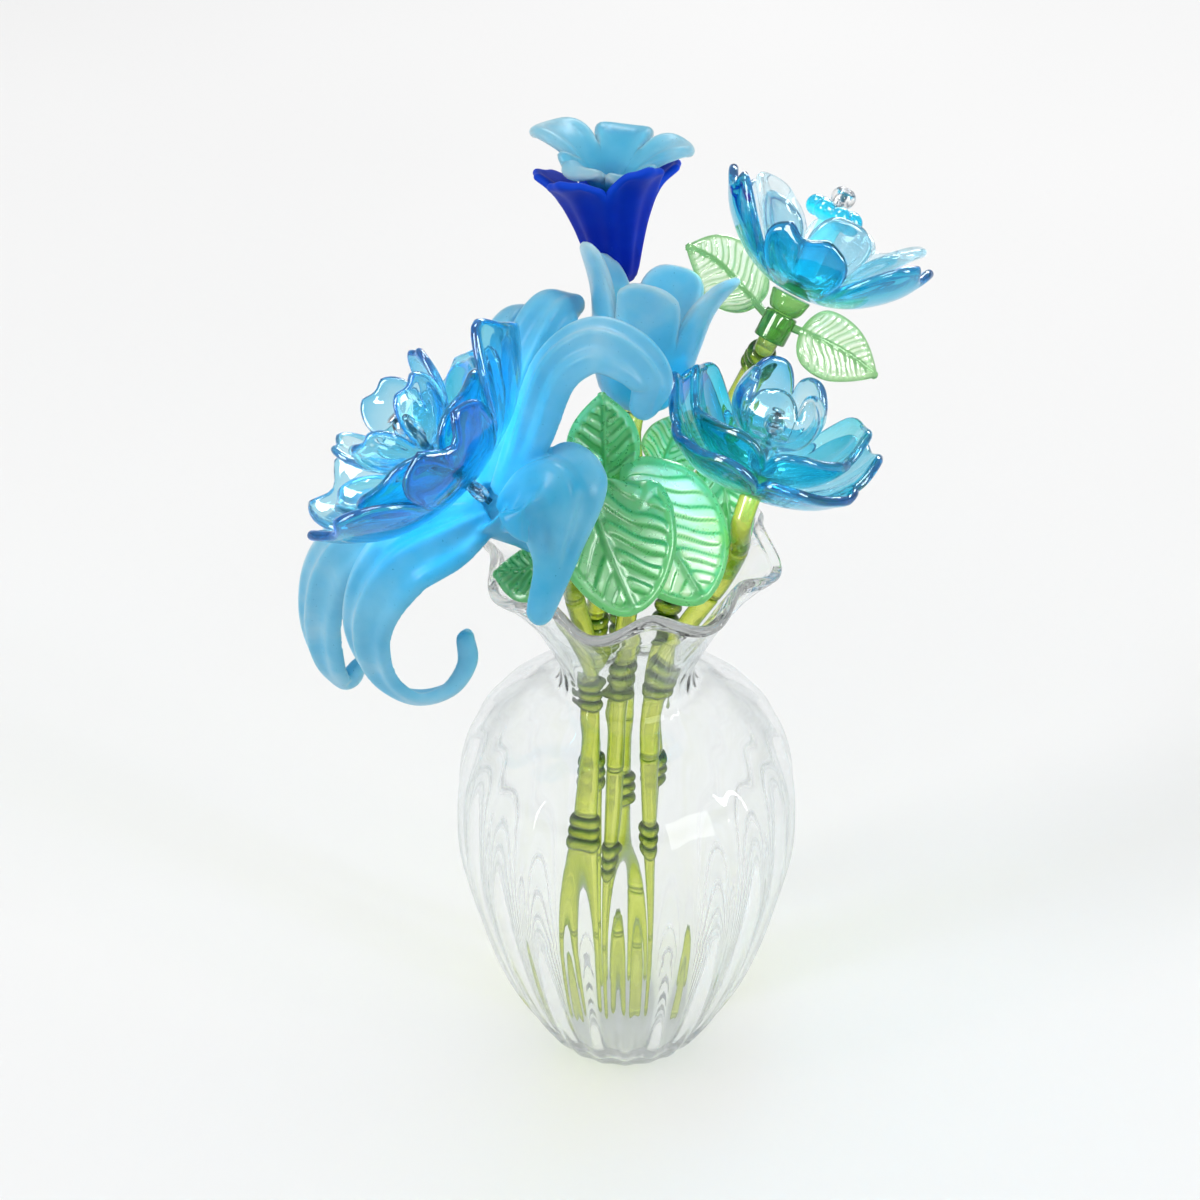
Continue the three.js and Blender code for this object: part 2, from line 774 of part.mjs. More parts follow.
function lilyGeometry() {
  const axis = vector(LILY.facing).normalize();
  const front = new THREE.Vector3(0, -1, 0).addScaledVector(axis, axis.y).normalize();
  const side = axis.clone().cross(front);
  const throat = [
    [2.3, 0],
    [3.2, 4],
    [4.6, 8],
    [6, LILY_THROAT],
    [4.8, LILY_THROAT - 0.4],
    [3, THROAT_FLOOR],
  ].map(([radius, height]) =>
    Array.from({ length: 12 }, (_, i) => {
      const angle = (i / 12) * 2 * Math.PI;
      return onAxis(LILY, height)
        .addScaledVector(front, radius * Math.cos(angle))
        .addScaledVector(side, radius * Math.sin(angle));
    }),
  );
  const cone = loft(throat, onAxis(LILY, 0), onAxis(LILY, THROAT_FLOOR));
  return fuse([cone, ...LILY_PETALS.map((petal) => ribbonGeometry(petal))]);
}
add("lily", lilyGeometry(), FROSTED);

// The clear tube bead on the pin between the lily's throat and the left rose
add(
  "rose_left_tube",
  beadGeometry(1.5, ROSE_LEFT_TUBE, 8),
  CLEAR,
  ROSE_LEFT,
  -GAP - ROSE_LEFT_TUBE / 2,
);

// ---- leaves ----------------------------------------------------------------------------

// A moulded leaf: a short stalk, then an arched blade with a raised rim, midrib and side ribs.
// facing is roughly the direction that its upper side looks, and halves holds the blade's widths
// to the two sides of its midrib.
function leafGeometry({ path, halves, facing, stalk = 0.16, arch = 0.12, thickness = 1.1 }) {
  const across = [-1, -0.8, -0.4, 0, 0.4, 0.8, 1];
  const bladeSteps = 9;
  const shares = [0, stalk * 0.6];
  for (let i = 0; i < bladeSteps; i++) shares.push(stalk + ((1 - stalk) * i) / (bladeSteps - 0.7));
  const up = vector(facing).normalize();
  const rings = shares.map((t, k) => {
    const at = along(path, t);
    const tangent = along(path, Math.min(1, t + 0.02))
      .sub(along(path, Math.max(0, t - 0.02)))
      .normalize();
    const side = tangent.clone().cross(up).normalize();
    const normal = side.clone().cross(tangent);
    const blade = THREE.MathUtils.clamp((t - stalk) / (1 - stalk), 0, 1);
    const full = Math.sin(Math.PI * blade ** 0.85) ** 0.6;
    const ribbed = k > 2 && k < shares.length - 1 ? 1 : 0;
    const rib = ribbed * (k % 2 ? 0.3 : 0);
    const lift = { 0: ribbed * 0.35, 0.4: rib, 0.8: ribbed * 0.35 };
    const place = (x, top) => {
      const half = Math.max(0.7, full * halves[x < 0 ? 0 : 1]);
      const relief = top ? (lift[Math.abs(x)] ?? 0) : 0;
      const sag = -arch * half * x * x;
      const depth = (top ? 0.5 : -0.5) * thickness * (1 - 0.3 * x * x);
      return at
        .clone()
        .addScaledVector(side, x * half)
        .addScaledVector(normal, sag + depth + relief);
    };
    return [
      ...across.map((x) => place(x, true)),
      ...[1, 0.4, -0.4, -1].map((x) => place(x, false)),
    ];
  });
  return loft(rings, along(path, 0), along(path, 1));
}

const LEAVES = {
  leaf_front_left: {
    path: [[-5, -9.8, 125.6], [-6.6, -12.6, 131.2], [-5, -18, 126.4], [-2, -22.4, 120.4], [1, -25.4, 114.2]],
    halves: [11.5, 7.6],
    facing: [0.15, -0.75, 0.6],
  },
  leaf_front_right: {
    path: [[-1.8, -8.8, 124.8], [0.4, -11, 127.4], [4.6, -14, 122.6], [8.4, -17.4, 117.6], [11.8, -20.6, 112.8]],
    halves: [11.5, 8.5],
    facing: [0.25, -0.7, 0.6],
  },
  leaf_upright: {
    path: [[-4, -7.8, 125.9], [-4.1, -7.2, 130], [-4.2, -6.6, 136.8], [-4.4, -5.9, 143.2]],
    halves: [6, 6],
    facing: [0.1, -0.9, 0.2],
    stalk: 0.1,
  },
  leaf_behind: {
    path: [[4.6, -0.6, 124], [6.2, 1, 126.6], [8, 4, 129.6], [9.6, 7, 131.6]],
    halves: [5.5, 5.5],
    facing: [-0.3, -0.6, 0.7],
    stalk: 0.1,
  },
  leaf_low_left: {
    path: [[-13.6, -14.8, 115.2], [-14.6, -15.2, 115.6], [-17.6, -14.6, 114.6], [-22, -13.4, 113.4]],
    halves: [5.5, 5.5],
    facing: [-0.15, -0.35, 0.93],
    stalk: 0.1,
  },
  leaf_low_right: {
    path: [[14.6, 8.7, 121.4], [15, 3.4, 122.4], [16, -0.4, 117.6], [16.8, -1.8, 111], [17.2, -2.4, 105.4]],
    halves: [5.5, 5],
    facing: [0.3, -0.7, 0.6],
    stalk: 0.12,
  },
  leaf_top_left: {
    path: [[21, 12.8, 145.6], [18.8, 19.2, 147.7], [14.6, 22.8, 150.7], [9.4, 24, 153.1]],
    halves: [5.7, 5.7],
    facing: [-0.2, -0.7, 0.7],
  },
  leaf_top_right: {
    path: [[27.1, 6.6, 146.6], [29.6, 6.8, 145.8], [35, 7, 142.6], [40.3, 7, 138.2]],
    halves: [5.7, 5.7],
    facing: [0.2, -0.7, 0.7],
  },
};
for (const [name, leaf] of Object.entries(LEAVES))
  add(name, leafGeometry(leaf), name.startsWith("leaf_top") ? PALE_LEAF : LEAF_GREEN);

export default root;
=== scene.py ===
"""A miniature bouquet of glass flowers in a clear vase with a ruffled rim.

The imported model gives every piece's place. Here each piece gets its fine surface and its finish.
Lengths are millimetres, turned into metres where a mesh is made.
"""

import json
import math
from dataclasses import dataclass

import bpy
import numpy as np
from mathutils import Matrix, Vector

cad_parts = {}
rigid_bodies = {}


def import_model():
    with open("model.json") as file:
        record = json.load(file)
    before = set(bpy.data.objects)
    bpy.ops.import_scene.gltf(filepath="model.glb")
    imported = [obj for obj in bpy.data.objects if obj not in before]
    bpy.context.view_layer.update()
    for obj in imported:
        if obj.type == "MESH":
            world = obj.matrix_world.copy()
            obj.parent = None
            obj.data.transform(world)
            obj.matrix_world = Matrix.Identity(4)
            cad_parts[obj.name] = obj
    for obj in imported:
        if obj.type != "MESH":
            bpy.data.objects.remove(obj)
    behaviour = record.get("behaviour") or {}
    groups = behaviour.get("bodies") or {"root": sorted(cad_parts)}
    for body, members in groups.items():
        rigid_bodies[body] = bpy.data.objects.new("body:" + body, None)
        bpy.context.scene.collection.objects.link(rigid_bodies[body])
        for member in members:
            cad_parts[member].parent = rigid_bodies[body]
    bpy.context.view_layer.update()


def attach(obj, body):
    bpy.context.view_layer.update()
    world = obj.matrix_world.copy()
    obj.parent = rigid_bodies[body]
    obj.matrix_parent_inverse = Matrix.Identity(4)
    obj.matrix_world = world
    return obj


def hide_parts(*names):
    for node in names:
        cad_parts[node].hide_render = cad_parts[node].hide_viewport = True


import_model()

MM = 0.001
GAP = 0.3  # clear space where two pieces touch

# ---- driving sizes ----

VASE_HEIGHT = 110
VASE_OUTLINE = [  # (height, radius) of the outside, from the foot to the rim
    (0, 12.5), (3, 15.5), (20, 23.5), (42, 29.2), (54, 30), (64, 29), (71, 26),
    (77, 19), (80.5, 12.8), (84, 11.6), (89, 12.8), (103, 20), (VASE_HEIGHT, 25.4),
]
VASE_WALL = 1.8
VASE_FLOOR = 4
VASE_FLOOR_RADIUS = 12
FOOT_RADII = (4, 9, 11.4)  # rings under the foot
WALL_FOOT = 0.6  # where the outer wall starts, above the rounded edge of the foot
FLOOR_CURVE = [  # (radius, height) inside, from the wall to the middle of the floor
    (14.6, 6.6), (13.4, 5), (VASE_FLOOR_RADIUS, 4.2), (9, VASE_FLOOR), (4, VASE_FLOOR),
]
INNER_FOOT = 9  # where the inner wall gives way to that curve
FLUTES = 22
FLUTE_COLUMNS = 18  # points round each flute
FLUTE_DEPTH = 0.5
FLUTE_INSIDE = 0.35  # how far the inner face follows the flutes
FLUTE_STRENGTH = [(0, 0.1), (10, 0.9), (44, 1), (60, 0.5), (74, 0.12), (110, 0.05)]
RUFFLES = 8
RUFFLE_START = 92
RUFFLE_REACH = 1.5
RUFFLE_DROOP = 1.3
RUFFLE_TURN = -13.5
LIP_RADIUS = 0.85  # the rim's fire-polished bead of glass
LIP_START = VASE_HEIGHT - 2  # where the walls end and that bead begins

TUBE_RADIUS = 1.7
SEED_RADIUS = 2.45
WAIST_RADIUS = 1.0
TUBE_LENGTH = 18
SEED_LENGTH = 2.5
SEEDS = 3  # seed beads in a cluster
BEAD_JOINT = 0.05  # from a bead's end to the middle of its joint
STEM_SIDES = 24
STEM_FOOT = VASE_FLOOR + GAP + 0.1
PIN_RADIUS = 0.55
WIRE_RADIUS = 0.2
HOLE_RADIUS = 0.95
PETALS = 5  # on every blossom

# Where each flower sits (the middle of its underside) and which way it opens
ROSE_LEFT = {"at": (-25.6, -17.8, 134.4), "facing": (-0.725, 0.144, 0.674)}
ROSE_RIGHT = {"at": (19.5, -13.2, 129.8), "facing": (0.297, 0.31, 0.903)}
ROSE_TOP = {"at": (26.3, 10.6, 151.6), "facing": (0.453, 0.339, 0.824)}
BELL = {"at": (0.9, 3.6, 133.9), "facing": (0.153, 0.388, 0.909)}
TRUMPET = {"at": (-1.9, 24.2, 145.5), "facing": (-0.093, 0.364, 0.927)}
LILY = {"at": (-13.5, -17, 121.8), "facing": (-0.694, -0.034, 0.719)}
LILY_THROAT = 12
THROAT_FLOOR = 9.8
CUP_BEAD_LENGTH = 5.5
ROSE_LEFT_TUBE = 4.9
TRUMPET_INNER_LIFT = 12.5

# ---- helpers: numbers ----


def unit(v):
    v = np.asarray(v, float)
    return v / np.linalg.norm(v, axis=-1, keepdims=True)


def smooth(table, x):
    """A smooth curve through rows (x, y), x rising, read at x. y may be a number or a point."""
    xs = np.array([row[0] for row in table], float)
    ys = np.array([row[1] for row in table], float)
    k = np.arange(len(xs))
    low, high = np.maximum(k - 1, 0), np.minimum(k + 1, len(xs) - 1)
    run = (xs[high] - xs[low]).reshape((-1,) + (1,) * (ys.ndim - 1))
    slopes = (ys[high] - ys[low]) / run
    x = np.clip(np.asarray(x, float), xs[0], xs[-1])
    i = np.clip(np.searchsorted(xs, x, side="right") - 1, 0, len(xs) - 2)
    step = xs[i + 1] - xs[i]
    t = (x - xs[i]) / step
    if ys.ndim > 1:
        step, t = step[..., None], t[..., None]
    value = (1 + 2 * t) * (1 - t) ** 2 * ys[i] + t * t * (3 - 2 * t) * ys[i + 1]
    return value + t * (1 - t) ** 2 * step * slopes[i] + t * t * (t - 1) * step * slopes[i + 1]


def along(items, t):
    """The same for evenly spaced points or numbers, read at t from 0 to 1."""
    return smooth([(i / (len(items) - 1), item) for i, item in enumerate(items)], t)


def step_up(low, high, x):
    """0 below low, 1 above high, and a smooth rise between."""
    t = np.clip((x - low) / (high - low), 0, 1)
    return t * t * (3 - 2 * t)


def basis(place):
    """A place's front, side and axis directions."""
    axis = unit(place["facing"])
    front = unit(np.array([0, -1, 0]) + axis * axis[1])
    return front, np.cross(axis, front), axis


def placed(shape, place, lift=0):
    """(points, faces) in a place's own frame, moved to where the place is."""
    front, side, axis = basis(place)
    points = np.asarray(shape[0], float)
    turned = points[..., :1] * front + points[..., 1:2] * side + points[..., 2:3] * axis
    return turned + np.array(place["at"], float) + lift * axis, shape[1]


def on_axis(place, distance):
    return np.array(place["at"], float) + distance * unit(place["facing"])


# ---- helpers: meshes ----


def loft(rings, start=None, end=None):
    """A closed solid skinned over rings of points, as (points, faces).

    It starts and ends in a point, or without those the last ring joins the first.
    """
    rings = [np.asarray(ring, float) for ring in rings]
    count = len(rings[0])
    points = np.concatenate(rings)
    i = np.arange(count)
    j = (i + 1) % count
    faces = []
    joined = len(rings) if start is None else len(rings) - 1
    for k in range(joined):
        a, b = k * count, ((k + 1) % len(rings)) * count
        faces += np.stack([a + i, a + j, b + j, b + i], 1).tolist()
    if start is not None:
        first, last = len(points), (len(rings) - 1) * count
        points = np.concatenate([points, [start, end]])
        faces += [[first, int(b), int(a)] for a, b in zip(i, j)]
        faces += [[first + 1, last + int(a), last + int(b)] for a, b in zip(i, j)]
    return points, outward(points, faces)


def outward(points, faces):
    """The faces, turned over if they look inwards."""
    first, second, third, fourth = (points[[face[min(i, len(face) - 1)] for face in faces]] for i in range(4))
    across = np.cross(second, third) + np.cross(third, fourth)
    volume = np.einsum("ij,ij->i", first, across).sum()
    return faces if volume > 0 else [face[::-1] for face in faces]


def merged(parts):
    """Several (points, faces) as one."""
    points, faces, shift = [], [], 0
    for part_points, part_faces in parts:
        points.append(part_points)
        faces += [[index + shift for index in face] for face in part_faces]
        shift += len(part_points)
    return np.concatenate(points), faces


def ring_normals(grid):
    """Unit normals of a grid of points (rows, columns), whose columns close on themselves."""
    down = np.gradient(grid, axis=0)
    across = np.roll(grid, -1, axis=1) - np.roll(grid, 1, axis=1)
    return unit(np.cross(across, down))


def nearest(points, line, block=2000):
    """Each point's distance to the nearest of a line's points, found for a block of points at a time."""
    flat = points.reshape(-1, 3)
    far = np.empty(len(flat))
    for start in range(0, len(flat), block):
        away = flat[start : start + block, None, :] - line[None, :, :]
        far[start : start + block] = np.sqrt((away**2).sum(2).min(1))
    return far.reshape(points.shape[:-1])


def rim_depth(distance, thickness, lip=0.0, lip_width=1.0):
    """Half the thickness of a shell at this distance from its rounded edge."""
    radius = 0.55 * thickness * (1 + lip)
    inside = np.clip(distance / radius, 0, 1)
    rounded = np.sqrt(1 - (1 - inside) ** 2)
    swell = 1 + lip * np.exp(-((np.maximum(distance - radius, 0) / lip_width) ** 2))
    return 0.5 * thickness * rounded * swell


def lathe(outline, sides):
    """A closed body turned round +Z from (radius, height) pairs; a loop if it has a hole."""
    turn = np.arange(sides) * 2 * math.pi / sides
    ring = lambda r, z: np.stack([r * np.cos(turn), r * np.sin(turn), np.full(sides, z)], 1)
    if outline[0][0] > 0:
        return loft([ring(r, z) for r, z in outline])
    rings = [ring(r, z) for r, z in outline[1:-1]]
    return loft(rings, (0, 0, outline[0][1]), (0, 0, outline[-1][1]))


def rounded_outline(corners, radius, steps=5):
    """A polyline of (radius, height) whose inner corners are rounded off."""
    corners = [np.array(c, float) for c in corners]
    result = [tuple(corners[0])]
    for before, here, after in zip(corners, corners[1:], corners[2:]):
        back, ahead = before - here, after - here
        reach = min(radius, 0.45 * np.linalg.norm(back), 0.45 * np.linalg.norm(ahead))
        a, b = here + unit(back) * reach, here + unit(ahead) * reach
        for t in np.linspace(0, 1, steps):
            result.append(tuple((1 - t) ** 2 * a + 2 * t * (1 - t) * here + t * t * b))
    result.append(tuple(corners[-1]))
    return result


def in_scene(name, data):
    """A new object of the scene that shows this mesh, lamp or camera."""
    made = bpy.data.objects.new(name, data)
    bpy.context.scene.collection.objects.link(made)
    return made


def mesh_in_scene(name, points, faces):
    mesh = bpy.data.meshes.new(name)
    mesh.from_pydata(points, [], faces)
    return in_scene(name, mesh)


def piece(name, nodes, slot, shape, tone=None, finish=None):
    """A piece made from (points, faces) in millimetres, which stands for these nodes.

    tone is one number for the whole piece or one for each point. The finish is the slot's own
    unless another is named.
    """
    points, faces = shape
    made = mesh_in_scene(name, (points * MM).tolist(), faces)
    mesh = made.data
    mesh.polygons.foreach_set("use_smooth", [True] * len(mesh.polygons))
    if tone is not None:
        layer = mesh.attributes.new("tone", "FLOAT", "POINT")
        layer.data.foreach_set("value", np.zeros(len(points)) + tone)
    mesh.materials.append(FINISHES[finish or slot])
    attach(made, "root")
    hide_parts(*nodes)
    return made


def melted(shape, voxel, rounds):
    """Overlapping closed bodies melted into one smooth body."""
    points, faces = shape
    body = mesh_in_scene("melt", points.tolist(), faces)
    mesh = body.data
    remesh = body.modifiers.new("remesh", "REMESH")
    remesh.mode = "VOXEL"
    remesh.voxel_size = voxel
    soften = body.modifiers.new("soften", "SMOOTH")
    soften.factor = 0.5
    soften.iterations = rounds
    bpy.context.view_layer.update()
    result = body.evaluated_get(bpy.context.evaluated_depsgraph_get())
    done = result.to_mesh()
    flat = np.empty(len(done.vertices) * 3)
    done.vertices.foreach_get("co", flat)
    faces = [list(face.vertices) for face in done.polygons]
    result.to_mesh_clear()
    bpy.data.objects.remove(body)
    bpy.data.meshes.remove(mesh)
    return flat.reshape(-1, 3), faces


# ---- finishes ----


def linear(colour):
    """A hex colour as linear red, green, blue, alpha."""
    parts = [int(colour[i : i + 2], 16) / 255 for i in (1, 3, 5)]
    return [c / 12.92 if c <= 0.04045 else ((c + 0.055) / 1.055) ** 2.4 for c in parts] + [1]


def fill_ramp(ramp, stops):
    """Sets a colour ramp's stops from (position, red-green-blue-alpha)."""
    while len(ramp.elements) < len(stops):
        ramp.elements.new(0.5)
    for element, (position, colour) in zip(ramp.elements, stops):
        element.position = position
        element.color = colour


class Finish:
    """A Principled material with small helpers to wire its nodes."""

    def __init__(self, name):
        self.material = bpy.data.materials.new(name)
        self.material.use_nodes = True
        self.tree = self.material.node_tree
        self.shader = self.tree.nodes["Principled BSDF"]

    def node(self, kind, **values):
        made = self.tree.nodes.new(kind)
        for key, value in values.items():
            setattr(made, key, value)
        return made

    def link(self, source, target):
        self.tree.links.new(source, target)

    def set(self, **values):
        for key, value in values.items():
            self.shader.inputs[key.replace("_", " ")].default_value = value

    def noise(self, scale, detail=2.0, stretch=(1, 1, 1)):
        """Noise fixed to the object, about scale features per metre."""
        where = self.node("ShaderNodeTexCoord").outputs["Object"]
        mapping = self.node("ShaderNodeMapping")
        mapping.inputs["Scale"].default_value = stretch
        grain = self.node("ShaderNodeTexNoise")
        grain.inputs["Scale"].default_value = scale
        grain.inputs["Detail"].default_value = detail
        self.link(where, mapping.inputs["Vector"])
        self.link(mapping.outputs["Vector"], grain.inputs["Vector"])
        return grain.outputs["Fac"]

    def maths(self, operation, *values, clamp=False):
        made = self.node("ShaderNodeMath", operation=operation, use_clamp=clamp)
        for socket, value in zip(made.inputs, values):
            if isinstance(value, (int, float)):
                socket.default_value = value
            else:
                self.link(value, socket)
        return made.outputs[0]

    def mottled_tone(self, scale, amount):
        """The piece's own tone, with soft patches that differ by up to amount."""
        patches = self.maths("MULTIPLY_ADD", self.noise(scale, 3), amount, -amount / 2)
        tone = self.node("ShaderNodeAttribute", attribute_name="tone").outputs["Fac"]
        return self.maths("ADD", tone, patches)

    def facing(self, blend):
        """0 where the surface is seen straight on, 1 where it is seen edge-on."""
        made = self.node("ShaderNodeLayerWeight")
        made.inputs["Blend"].default_value = blend
        return made.outputs["Facing"]

    def ramp(self, factor, stops):
        made = self.node("ShaderNodeValToRGB")
        fill_ramp(made.color_ramp, [(position, linear(colour)) for position, colour in stops])
        self.link(factor, made.inputs["Fac"])
        return made.outputs["Color"]

    def colour(self, source):
        self.link(source, self.shader.inputs["Base Color"])

    def roughness(self, factor, low, high):
        made = self.node("ShaderNodeMapRange")
        made.inputs["To Min"].default_value = low
        made.inputs["To Max"].default_value = high
        self.link(factor, made.inputs["Value"])
        self.link(made.outputs["Result"], self.shader.inputs["Roughness"])

    def bump(self, height, strength, distance):
        made = self.node("ShaderNodeBump")
        made.inputs["Strength"].default_value = strength
        made.inputs["Distance"].default_value = distance
        self.link(height, made.inputs["Height"])
        self.link(made.outputs["Normal"], self.shader.inputs["Normal"])

    def shadow(self, straight):
        """Lets light through to cast this shader's tint as a shadow."""
        mix = self.node("ShaderNodeMixShader")
        self.link(self.node("ShaderNodeLightPath").outputs["Is Shadow Ray"], mix.inputs["Fac"])
        self.link(self.shader.outputs["BSDF"], mix.inputs[1])
        self.link(straight.outputs["BSDF"], mix.inputs[2])
        self.link(mix.outputs["Shader"], self.tree.nodes["Material Output"].inputs["Surface"])

    def depth(self, colour, density):
        """Takes the other colours out of light on its way through."""
        volume = self.node("ShaderNodeVolumeAbsorption")
        volume.inputs["Color"].default_value = linear(colour)
        volume.inputs["Density"].default_value = density
        self.link(volume.outputs["Volume"], self.tree.nodes["Material Output"].inputs["Volume"])


def glass(name, stops, rough=(0.0, 0.03), ior=1.49, wave=0.06, scale=120, **more):
    """Clear or tinted glass: its colour follows the piece's own tone, and its skin waves a little.

    rough     (lowest, highest) roughness
    wave      how strongly the skin waves, with about scale waves per metre
    edge      painted shade: how much deeper the tone is where the glass is seen edge-on, by the power of sharp
    shade     the tint of its shadow, where that isn't the colour of the glass
    depth     (colour, density) that the glass takes from light on its way through
    clear     1 for see-through glass, less for a milky one
    """
    made = Finish(name)
    tone = made.mottled_tone(260, 0.12)
    # The edge term paints a darker outline where the glass is seen edge-on: painted shade for the dark
    # refraction at its outlines, partly also the deeper tint of a longer path through tinted glass.
    if more.get("edge"):
        painted_edge_shade = made.maths("POWER", made.facing(0.5), more.get("sharp", 3))
        tone = made.maths("ADD", tone, made.maths("MULTIPLY", painted_edge_shade, more["edge"]), clamp=True)
    tint = made.ramp(tone, stops)
    made.colour(tint)
    made.set(Transmission_Weight=more.get("clear", 1.0), IOR=ior)
    made.roughness(made.noise(900, 3), *rough)
    made.bump(made.noise(scale, 1), wave, 0.0004)
    straight = made.node("ShaderNodeBsdfTransparent")
    if more.get("shade"):
        straight.inputs["Color"].default_value = linear(more["shade"])
    else:
        made.link(tint, straight.inputs["Color"])
    made.shadow(straight)
    if more.get("depth"):
        made.depth(*more["depth"])
    return made.material


def frosted(name, stops, transmission, scatter, rough=0.3, edge=0.2, gloss=0.5):
    """Acid-frosted glass: milky, softly lit from within, in patches of paler and deeper colour, with a
    painted sheen where it is seen edge-on.
    """
    made = Finish(name)
    # edge sets a painted sheen: the tone turns paler where the surface is seen edge-on.
    painted_sheen = made.maths("MULTIPLY", made.facing(0.3), edge)
    tone = made.maths("ADD", made.mottled_tone(110, 0.7), painted_sheen, clamp=True)
    made.colour(made.ramp(tone, stops))
    made.set(
        Transmission_Weight=transmission,
        Subsurface_Weight=scatter,
        Subsurface_Scale=0.002,
        Subsurface_Radius=(0.9, 1.0, 1.0),
        Specular_IOR_Level=gloss,
        IOR=1.45,
    )
    made.roughness(made.noise(2600, 4), rough - 0.06, rough + 0.06)
    made.bump(made.noise(9000, 2), 0.08, 0.00005)
    return made.material


def steel(name):
    made = Finish(name)
    made.colour(made.ramp(made.noise(4000, 3), [(0.3, "#8a8d92"), (0.7, "#d5d8dc")]))
    made.set(Metallic=1.0)
    made.roughness(made.noise(6000, 2, (1, 1, 0.1)), 0.12, 0.3)
    return made.material


# The colours run from tone 0 to tone 1. A glass's edge paints a darker outline as painted shade; a frost's
# edge paints a paler sheen.
GLASSES = {
    "clear_glass": {
        "stops": [(0, "#fdfefe"), (0.5, "#dde4e6"), (1, "#77838a")],
        "rough": (0.0, 0.01), "ior": 1.48, "wave": 0.05, "scale": 70, "edge": 1.0, "shade": "#f8fafa",
    },
    "clear_acrylic": {"stops": [(0, "#fdfefe"), (1, "#6b777d")], "wave": 0.02, "edge": 1.2},
    "olive_bead": {
        "stops": [(0, "#233f04"), (0.3, "#5f8412"), (0.65, "#c2cd3c"), (1, "#f2f288")],
        "rough": (0.02, 0.06), "edge": -1.2, "sharp": 1.4, "shade": "#f0f3e4", "clear": 0.7,
        "depth": ("#c4d060", 60),
    },
    "deep_blue_gloss": {
        "stops": [(0, "#f2fbfe"), (0.25, "#a5e2f4"), (0.5, "#46c8e4"), (0.75, "#20aeda"), (1, "#0896cc")],
        "edge": 0.12, "shade": "#eef6fa", "depth": ("#5cc8ea", 40),
    },
    "teal_gloss": {
        "stops": [(0, "#f0fdfe"), (0.3, "#acf0f8"), (0.65, "#4cd6ee"), (1, "#16aad6")],
        "edge": 0.12, "shade": "#eef8fa", "depth": ("#50d0e6", 40),
    },
    "aqua_gloss": {
        "stops": [(0, "#fafeff"), (0.4, "#cdf1f9"), (0.75, "#74cdee"), (1, "#2484cc")],
        "edge": 0.3, "shade": "#f0f8fa", "depth": ("#6cc6e6", 40),
    },
    "smoke_blue_gloss": {
        "stops": [(0, "#f0f8fa"), (0.5, "#c4dfe7"), (1, "#7fb2c6")],
        "rough": (0.02, 0.1), "edge": 0.4, "shade": "#f0f8fa", "clear": 0.94,
    },
    "turquoise_gloss": {
        "stops": [(0, "#b8fbfb"), (0.6, "#38e2ee"), (1, "#08aed0")],
        "rough": (0.02, 0.06), "edge": 0.4, "shade": "#e4f6fa", "clear": 0.6,
    },
    "cup_green_gloss": {
        "stops": [(0, "#c4e8a4"), (0.5, "#7dbb5c"), (1, "#256524")],
        "rough": (0.01, 0.05), "edge": 0.9, "sharp": 2, "clear": 0.85,
    },
    "pale_green_gloss": {
        "stops": [(0, "#f6fbee"), (0.35, "#d3ebc2"), (0.65, "#86c37c"), (1, "#2c7435")],
        "rough": (0.02, 0.08), "edge": 0.3, "clear": 0.9,
    },
    "leaf_green": {
        "stops": [(0, "#f0fae4"), (0.3, "#c6ebba"), (0.55, "#78ce86"), (0.8, "#40ac5c"), (1, "#1c7638")],
        "rough": (0.22, 0.36), "clear": 0.4,
    },
}
FROSTS = {
    "blue_frosted": {
        "stops": [(0, "#18a0d0"), (0.35, "#3eb8e2"), (0.65, "#7acfef"), (1, "#d8f3fc")],
        "transmission": 0.32, "scatter": 0.25,
    },
    "pale_blue_frosted": {
        "stops": [(0, "#14a2d4"), (0.4, "#32b9e3"), (0.7, "#6ed0ef"), (1, "#c8eef9")],
        "transmission": 0.45, "scatter": 0.25,
    },
    "cobalt_frosted": {
        "stops": [(0, "#001076"), (0.5, "#0224a2"), (1, "#0c46cc")],
        "transmission": 0.05, "scatter": 0.1, "rough": 0.5, "edge": 0.0, "gloss": 0.1,
    },
}
FINISHES = {name: glass(name, **look) for name, look in GLASSES.items()}
FINISHES.update({name: frosted(name, **look) for name, look in FROSTS.items()})
FINISHES["pin_steel"] = steel("pin_steel")

# ---- vase ----


def wall_point(height, turn, inset):
    """Points of the vase's wall; inset is the depth below its outer surface."""
    radius = smooth(VASE_OUTLINE, height)
    below, above = np.maximum(0, height - 0.5), np.minimum(VASE_HEIGHT, height + 0.5)
    lean = (smooth(VASE_OUTLINE, above) - smooth(VASE_OUTLINE, below)) / (above - below)
    norm = np.hypot(1, lean)
    rib = np.cos(FLUTES * turn)
    follow = 1 - (1 - FLUTE_INSIDE) * step_up(0, VASE_WALL, inset)
    flute = follow * FLUTE_DEPTH * smooth(FLUTE_STRENGTH, height) * rib
    waved = np.maximum(0, (height - RUFFLE_START) / (VASE_HEIGHT - RUFFLE_START)) ** 2
    wave = waved * np.cos(RUFFLES * (turn - math.radians(RUFFLE_TURN)))
    reach = radius + flute + RUFFLE_REACH * wave - inset / norm
    level = height - RUFFLE_DROOP * wave + inset * lean / norm
    return np.stack([reach * np.sin(turn), -reach * np.cos(turn), level], -1)


